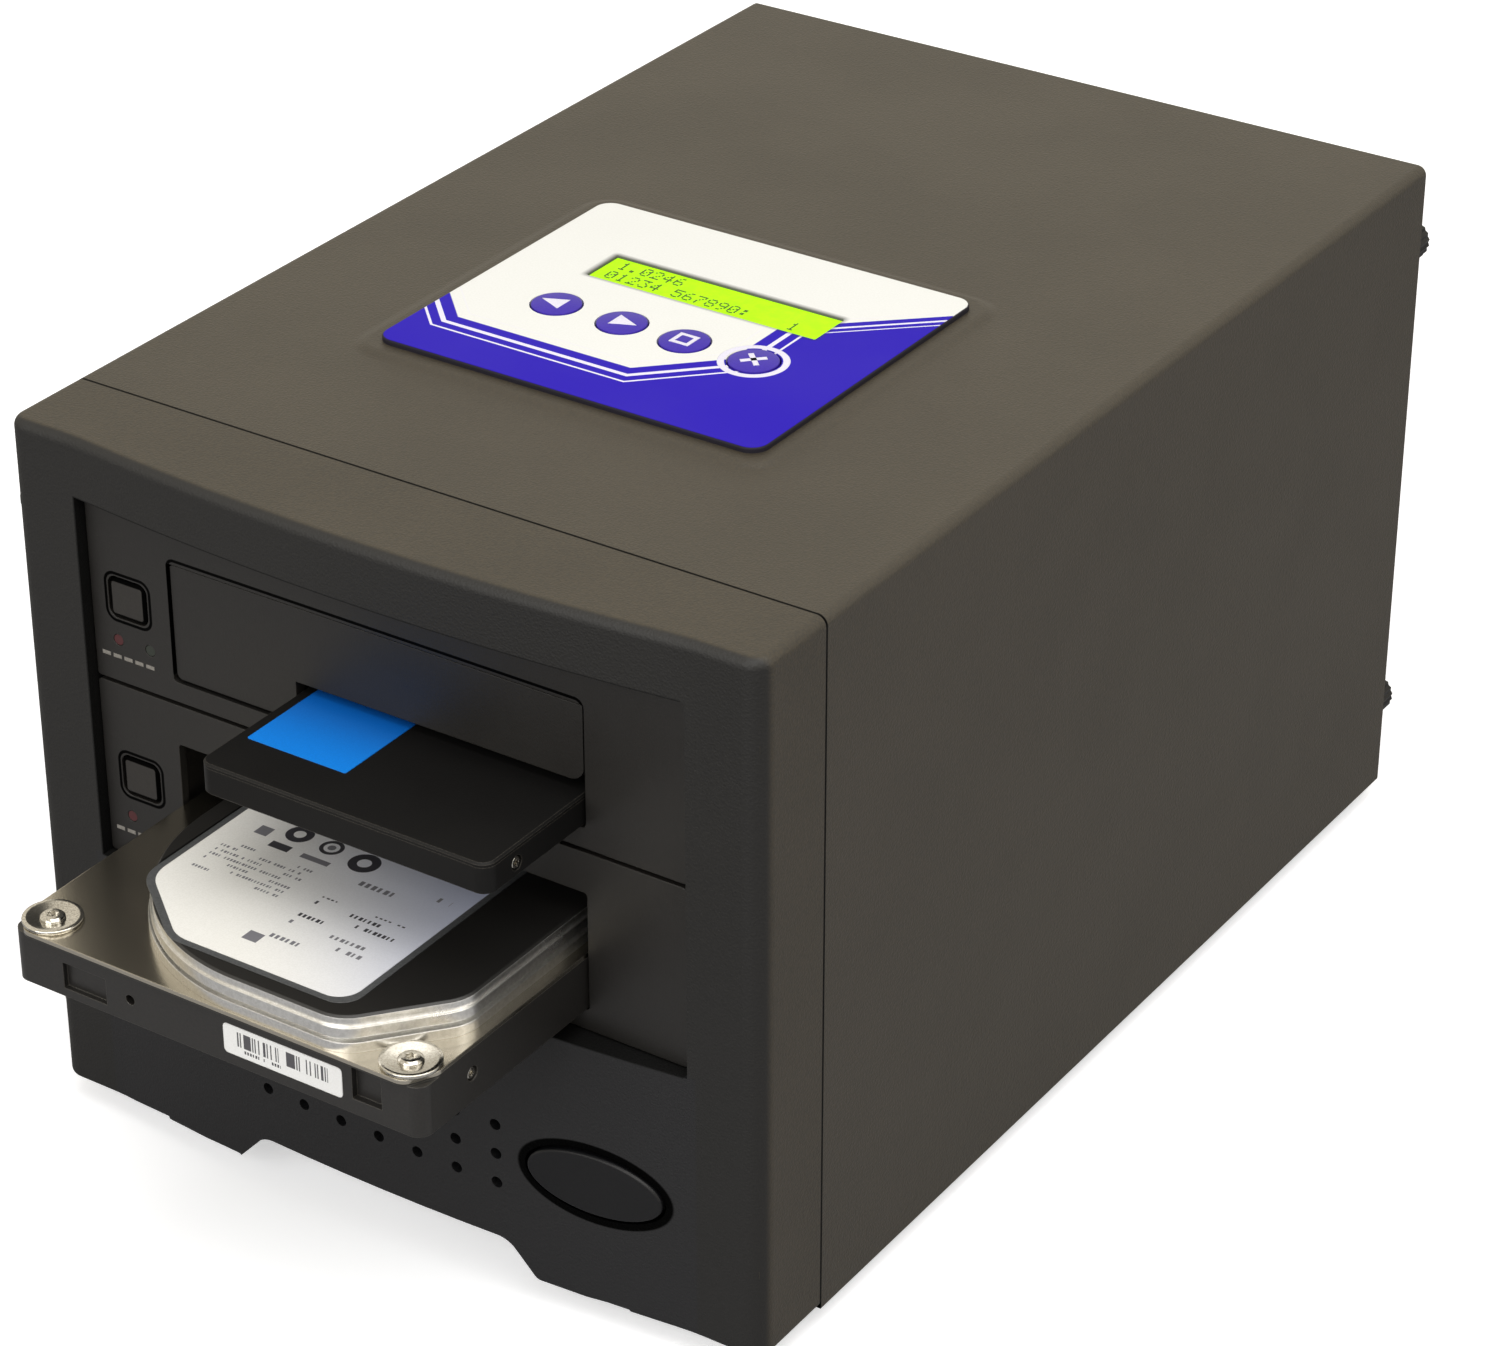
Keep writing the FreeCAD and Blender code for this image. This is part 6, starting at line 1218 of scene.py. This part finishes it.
@dataclass
class DisplayUnit:
    """The lit display: its screen in the panel's window, and the rows of dotted digits on it."""

    lift: float = 1.2 * MM
    clearance: float = 0.2 * MM
    pitch: float = 2.85 * MM
    glyph_height: float = 3.7 * MM
    head: float = 1.1 * MM
    leading: float = 1.3 * MM
    side: float = 2.8 * MM
    last_gap: float = 6.5 * MM
    dot_fill: float = 0.9
    dot_thick: float = 0.04 * MM
    border: float = 0.25 * MM
    round: float = 0.15 * MM
    rows: tuple[str, ...] = ("1.0246", "01234 567890: 1")
    patterns: dict[str, str] = field(default_factory=lambda: {
        "0": "01110 10001 10011 10101 11001 10001 01110", "1": "00100 01100 00100 00100 00100 00100 01110",
        "2": "01110 10001 00001 00010 00100 01000 11111", "3": "11111 00010 00100 00010 00001 10001 01110",
        "4": "00010 00110 01010 10010 11111 00010 00010", "5": "11111 10000 11110 00001 00001 10001 01110",
        "6": "00110 01000 10000 11110 10001 10001 01110", "7": "11111 00001 00010 00100 01000 01000 01000",
        "8": "01110 10001 10001 01110 10001 10001 01110", "9": "01110 10001 10001 01111 00001 00010 01100",
        ".": "00000 00000 00000 00000 00000 01100 01100", ":": "00000 01100 01100 00000 01100 01100 00000",
        " ": "00000 00000 00000 00000 00000 00000 00000"})

    CELLS_ACROSS, CELLS_UP = 6.2, 7    # dots in a character's pitch and in its height

    @staticmethod
    def window() -> tuple[Vector, Vector]:
        """Gives the corners of the panel's window, from the display module's place."""
        low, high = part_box("lcd_module")
        frame_width = mm(DISPLAY_FRAME, DISPLAY_FRAME, 0)
        return low + frame_width, high - frame_width

    def screen(self, palette: Palette) -> tuple[Vector, Vector]:
        """Makes the lit screen.

        Args:
            palette: the finishes.

        Returns:
            The screen's lowest and highest corner.
        """
        low, high = self.window()
        low = Vector((low.x + self.clearance, low.y + self.clearance, high.z))
        high = Vector((high.x - self.clearance, high.y - self.clearance, high.z + self.lift))
        piece = Workbench.slab(low, high)
        with Workbench.editing(piece):
            Workbench.pick_faces(piece, lambda face: face.normal.z > LEVEL)
            bpy.ops.mesh.inset(thickness=self.border)
        Workbench.bevel(piece, self.round, 2)
        Workbench.smooth(piece, 30)
        palette.dress(Workbench.named(piece, "display_screen"), "display_glow", "case")
        return low, high

    def digits(self, palette: Palette, low: Vector, high: Vector) -> None:
        """Makes the rows of digits on the screen.

        Args:
            palette: the finishes.
            low: the screen's lowest corner.
            high: the screen's highest corner.
        """
        dot_x, dot_y = self.pitch / self.CELLS_ACROSS, self.glyph_height / self.CELLS_UP
        size = Vector((dot_x * self.dot_fill, dot_y * self.dot_fill, self.dot_thick))
        dot = Workbench.slab(Vector((0, 0, 0)), size)
        Workbench.bevel(dot, 0.02 * MM, 1)
        made: list[bpy.types.Object] = []
        for row, text in enumerate(self.rows):
            top = high.y - self.head - row * (self.glyph_height + self.leading)
            for column, letter in enumerate(text):
                last = column == len(text) - 1 and row
                left = low.x + self.side + column * self.pitch + (self.last_gap if last else 0)
                for line, bits in enumerate(self.patterns[letter].split()):
                    for cell, bit in enumerate(bits):
                        if bit == "1":
                            spot = Vector((left + cell * dot_x, top - (line + 1) * dot_y, high.z))
                            made.append(Workbench.copy(dot, Matrix.Translation(spot)))
        Workbench.discard(dot)
        palette.dress(Workbench.join(made, "display_digits"), "display_ink", "case")

    def build(self, palette: Palette) -> None:
        """Makes the screen and its digits."""
        low, high = self.screen(palette)
        self.digits(palette, low, high)


class KeyMark(Enum):
    """The sign on each panel key."""

    BACK = "key_left"
    FORWARD = "key_right"
    CHOOSE = "key_enter"
    LEAVE = "key_cancel"


@dataclass
class KeyMarks:
    """The white signs on the panel's keys, and the ring round the last key."""

    size: float = 3.0 * MM
    thick: float = 0.12 * MM
    sunk: float = 0.05 * MM
    ring_radius: float = 7.6 * MM
    ring_width: float = 1.5 * MM
    ring_thick: float = 0.06 * MM

    POINTING = (1.25, 0.95, 1)         # stretch of a triangle along and across its direction
    FRAME_HALF, FRAME_WIDTH = 0.8, 0.32   # of the size
    BAR_HALVES = (0.95, 0.2)           # along and across a bar of the cross, of the size

    def triangle(self, direction: int) -> bpy.types.Object:
        """Makes a triangle that points left or right."""
        piece = Workbench.drum(Vector((0, 0, 0)), self.size, self.thick, 3)
        with Workbench.editing(piece):
            bpy.ops.mesh.select_all(action="SELECT")
            angle = math.radians(90) * direction
            bpy.ops.transform.rotate(value=angle, orient_axis="Z", center_override=(0, 0, 0))
            bpy.ops.transform.resize(value=self.POINTING, center_override=(0, 0, 0))
        Workbench.bevel(piece, 0.04 * MM, 1)
        return piece

    def frame_mark(self) -> bpy.types.Object:
        """Makes an open square."""
        half = Vector((self.size * self.FRAME_HALF, self.size * self.FRAME_HALF, self.thick / 2))
        return Workbench.hollow(Workbench.slab(-half, half), self.size * self.FRAME_WIDTH)

    def cross_mark(self) -> bpy.types.Object:
        """Makes a slanted cross."""
        long, short = [self.size * share for share in self.BAR_HALVES]
        bars = []
        for turn in (45, -45):
            half = Vector((long, short, self.thick / 2))
            bar = Workbench.slab(-half, half)
            with Workbench.editing(bar):
                bpy.ops.mesh.select_all(action="SELECT")
                bpy.ops.transform.rotate(value=math.radians(turn), orient_axis="Z", center_override=(0, 0, 0))
            bars.append(bar)
        return Workbench.join(bars, "cross")

    def build(self, palette: Palette) -> None:
        """Makes the four signs and the ring."""
        makers = {KeyMark.BACK: lambda: self.triangle(-1), KeyMark.FORWARD: lambda: self.triangle(1),
                  KeyMark.CHOOSE: self.frame_mark, KeyMark.LEAVE: self.cross_mark}
        for mark, make in makers.items():
            low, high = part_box(mark.value)
            piece = make()
            middle = (low + high) / 2
            piece.data.transform(Matrix.Translation(Vector((middle.x, middle.y, high.z - self.sunk))))
            Workbench.named(piece, mark.value + "_sign")
            palette.dress(piece, "white_mark", mark.value)
        self.ring(palette)

    def ring(self, palette: Palette) -> None:
        """Makes the pale ring that is printed round the last key."""
        low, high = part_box(KeyMark.LEAVE.value)
        middle = (low + high) / 2
        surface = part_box("panel_plate")[1].z
        centre = Vector((middle.x, middle.y, surface))
        disc = Workbench.drum(centre, self.ring_radius, self.ring_thick, 64)
        piece = Workbench.named(Workbench.hollow(disc, self.ring_width), "key_cancel_ring")
        palette.dress(piece, "white_mark", "case")


@dataclass
class LabelRing:
    """The grey band that the hard drive's label lies on."""

    overhang: float = 1.5 * MM
    sunk: float = 0.06 * MM

    def build(self, palette: Palette) -> None:
        """Makes the band from a copy of the label, a little larger and lower."""
        piece = twin_of("hdd_label")
        Workbench.outward(piece)
        low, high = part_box("hdd_label")
        middle, span = (low + high) / 2, high - low
        factor = [(span[i] + 2 * self.overhang) / span[i] for i in range(2)]
        with Workbench.editing(piece):
            bpy.ops.mesh.select_all(action="SELECT")
            bpy.ops.transform.resize(value=(factor[0], factor[1], 1), center_override=middle)
            bpy.ops.transform.translate(value=(0, 0, -self.sunk))
        palette.dress(Workbench.named(piece, "hdd_label_band"), "label_ring", "hdd")


@dataclass
class CornerEars:
    """The bright dished ears round the screws at the hard drive's front corners."""

    radius: float = 6.2 * MM
    thick: float = 0.9 * MM
    reach: float = 30 * MM

    RIM, SLOPE = 0.16, 0.22            # widths, of the radius
    DISH, ROUND = 0.5, 0.25            # of the thickness

    def ear(self) -> bpy.types.Object:
        """Makes one ear at the origin: a dished disc with a raised rim."""
        piece = Workbench.drum(Vector((0, 0, self.thick / 2)), self.radius, self.thick, 36)
        with Workbench.editing(piece):
            Workbench.pick_faces(piece, lambda face: face.normal.z > LEVEL)
            bpy.ops.mesh.inset(thickness=self.radius * self.RIM)
            bpy.ops.mesh.inset(thickness=self.radius * self.SLOPE)
            bpy.ops.transform.translate(value=(0, 0, -self.thick * self.DISH))
        Workbench.bevel(piece, self.thick * self.ROUND, 2, 25)
        Workbench.smooth(piece, 50)
        return piece

    def build(self, palette: Palette) -> None:
        """Makes an ear at each front corner, kept inside the drive's outline."""
        base_low, base_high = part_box("hdd_base")
        made = []
        for low, high in solids_of("hdd_screws"):
            if high.z > base_high.z and low.y < base_low.y + self.reach:
                middle = (low + high) / 2
                piece = self.ear()
                piece.data.transform(Matrix.Translation(Vector((middle.x, middle.y, base_high.z))))
                with Workbench.editing(piece):
                    bpy.ops.mesh.select_all(action="SELECT")
                    bpy.ops.mesh.bisect(plane_co=(middle.x, base_low.y + 0.1 * MM, 0), plane_no=(0, -1, 0),
                                        use_fill=True, clear_outer=True)
                made.append(piece)
        palette.dress(Workbench.join(made, "hdd_corner_ears"), "bright_screw", "hdd")


@dataclass
class RackTicks:
    """The row of small plain dashes printed under each rack's lamps."""

    count: int = 5
    width: float = 2.2 * MM
    height: float = 0.9 * MM
    gap: float = 0.7 * MM
    rise: float = 5.4 * MM
    left: float = 1.7 * MM
    ahead: float = 0.03 * MM
    thick: float = 0.05 * MM

    def build(self, palette: Palette) -> None:
        """Makes a row on each rack."""
        for rack in ("lower", "upper"):
            low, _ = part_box(rack + "_rack_faceplate")
            made = []
            for index in range(self.count):
                start = Vector((low.x + self.left + index * (self.width + self.gap), low.y - self.ahead,
                                low.z + self.rise))
                dash = Workbench.slab(start, start + Vector((self.width, self.thick, self.height)))
                Workbench.bevel(dash, 0.01 * MM, 1)
                made.append(dash)
            palette.dress(Workbench.join(made, rack + "_rack_dashes"), "grey_mark", "case")


# ---- Studio --------------------------------------------------------------------------------------------
@dataclass
class Studio:
    """The floor, the soft lights and the camera."""

    WARM: ClassVar[Colour] = (1.0, 0.93, 0.79)
    WHITE: ClassVar[Colour] = (1.0, 1.0, 1.0)
    LAMPS: ClassVar[tuple] = (          # name, place, side in metres, power in watts
        ("overhead", (0.45, -0.3, 1.3), 1.3, 15.5),
        ("side_fill", (1.8, 0.2, 0.7), 1.2, 6.0),
        ("front_fill", (-0.1, -1.8, 0.9), 1.5, 21.0))
    AIM_HEIGHT: ClassVar[float] = 0.1
    SURROUND: ClassVar[tuple] = (0.3, 0.7)   # light for matt surfaces, and more where it is seen
    FLOOR_GLOSS: ClassVar[float] = 0.15      # of the floor's glow that glossy surfaces show
    FLOOR_GLOW: ClassVar[float] = 0.5

    stand: Vector = field(default_factory=lambda: Vector((0.48403, -0.73092, 0.57365)))
    aim: Vector = field(default_factory=lambda: Vector((0.01306, -0.02180, 0.085)))
    lens: float = 108.3
    sensor: float = 36.0

    def camera(self) -> None:
        """Places the camera."""
        data = bpy.data.cameras.new("camera")
        data.lens = self.lens
        data.sensor_width = self.sensor
        data.clip_start = 0.01
        piece = bpy.data.objects.new("camera", data)
        piece.location = self.stand
        piece.rotation_euler = (self.aim - self.stand).to_track_quat("-Z", "Y").to_euler()
        bpy.context.scene.collection.objects.link(piece)
        bpy.context.scene.camera = piece

    @staticmethod
    def lamp(name: str, spot: Vector, aim: Vector, size: float, power: float) -> None:
        """Adds one soft square lamp.

        Args:
            name: the lamp's name.
            spot: where it hangs.
            aim: the point that it faces.
            size: its side, in metres.
            power: its power, in watts.
        """
        data = bpy.data.lights.new(name, "AREA")
        data.shape = "SQUARE"
        data.size = size
        data.energy = power
        piece = bpy.data.objects.new(name, data)
        piece.location = spot
        piece.rotation_euler = (aim - spot).to_track_quat("-Z", "Y").to_euler()
        bpy.context.scene.collection.objects.link(piece)

    @staticmethod
    def world() -> None:
        """Makes a pale surround that lights matt surfaces only a little."""
        world = bpy.data.worlds.new("surround")
        world.use_nodes = True
        graph = Graph(world.node_tree)
        back = next(n for n in world.node_tree.nodes if n.type == "BACKGROUND")
        path = graph.add("ShaderNodeLightPath")
        seen = graph.plus(path.outputs["Is Camera Ray"], path.outputs["Is Glossy Ray"], clamp=True)
        tint = graph.mix(path.outputs["Is Camera Ray"], Studio.WARM, Studio.WHITE)
        graph.feed(back.inputs["Color"], tint)
        matt, more = Studio.SURROUND
        graph.feed(back.inputs["Strength"], graph.plus(matt, graph.times(seen, more)))
        bpy.context.scene.world = world

    @staticmethod
    def floor() -> None:
        """Lays a wide pale floor."""
        Workbench.clear()
        bpy.ops.mesh.primitive_plane_add(size=12, location=(0, 0, 0))
        piece = bpy.context.active_object
        Workbench.named(piece, "studio_floor")
        material = bpy.data.materials.new("studio_floor")
        material.use_nodes = True
        graph = Graph(material.node_tree)
        shader = next(n for n in material.node_tree.nodes if n.type == "BSDF_PRINCIPLED")
        path = graph.add("ShaderNodeLightPath")
        glossy = graph.times(path.outputs["Is Glossy Ray"], Studio.FLOOR_GLOSS)
        seen = graph.plus(path.outputs["Is Camera Ray"], glossy, clamp=True)
        graph.feed(shader.inputs["Base Color"], graph.mix(seen, srgb("8a8a8c"), srgb("f4f4f6")))
        shader.inputs["Roughness"].default_value = 0.9
        shader.inputs["Specular IOR Level"].default_value = 0.1
        graph.feed(shader.inputs["Emission Color"], srgb("ffffff"))
        graph.feed(shader.inputs["Emission Strength"], graph.times(seen, Studio.FLOOR_GLOW))
        piece.data.materials.append(material)

    def build(self) -> None:
        """Sets the whole studio up."""
        self.camera()
        self.world()
        self.floor()
        middle = Vector((0, 0, self.AIM_HEIGHT))
        for name, spot, size, power in self.LAMPS:
            self.lamp(name, Vector(spot), middle, size, power)
        bpy.context.scene.view_settings.view_transform = "Standard"


# ---- The whole duplicator ------------------------------------------------------------------------------
def side_or_top(low: Vector, high: Vector) -> Vector:
    """Finds the way that a hard drive's screw faces: up at the corners, and out at the sides."""
    base_low, base_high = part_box("hdd_base")
    if high.z > base_high.z:
        return Vector((0, 0, 1))
    middle = (base_low.x + base_high.x) / 2
    return Vector((1 if low.x > middle else -1, 0, 0))


def sideways(low: Vector, high: Vector) -> Vector:
    """Finds the side that a solid-state drive's screw faces."""
    base_low, base_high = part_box("ssd_case")
    return Vector((1 if low.x > (base_low.x + base_high.x) / 2 else -1, 0, 0))


def main() -> None:
    """Dresses the frame, makes the fine pieces and sets the studio up."""
    logging.basicConfig(level=logging.INFO, format="%(name)s: %(message)s")
    palette = Palette()
    palette.dress_frame()
    ScrewSet("hdd_screws", "hdd_star_screws", Drive.STAR, "bright_screw", "hdd", side_or_top).build(palette)
    ScrewSet("ssd_screws", "ssd_cross_screws", Drive.CROSS, "bright_screw", "ssd", sideways).build(palette)
    ScrewSet("rear_screws", "rear_cross_screws", Drive.CROSS, "zinc", "case",
             lambda low, high: Vector((0, 1, 0))).build(palette)
    ScrewSet("foot_screws", "foot_cross_screws", Drive.CROSS, "zinc", "case",
             lambda low, high: Vector((0, 0, -1))).build(palette)
    DisplayUnit().build(palette)
    KeyMarks().build(palette)
    LabelRing().build(palette)
    CornerEars().build(palette)
    RackTicks().build(palette)
    Studio().build()


if __name__ == "__main__":
    main()
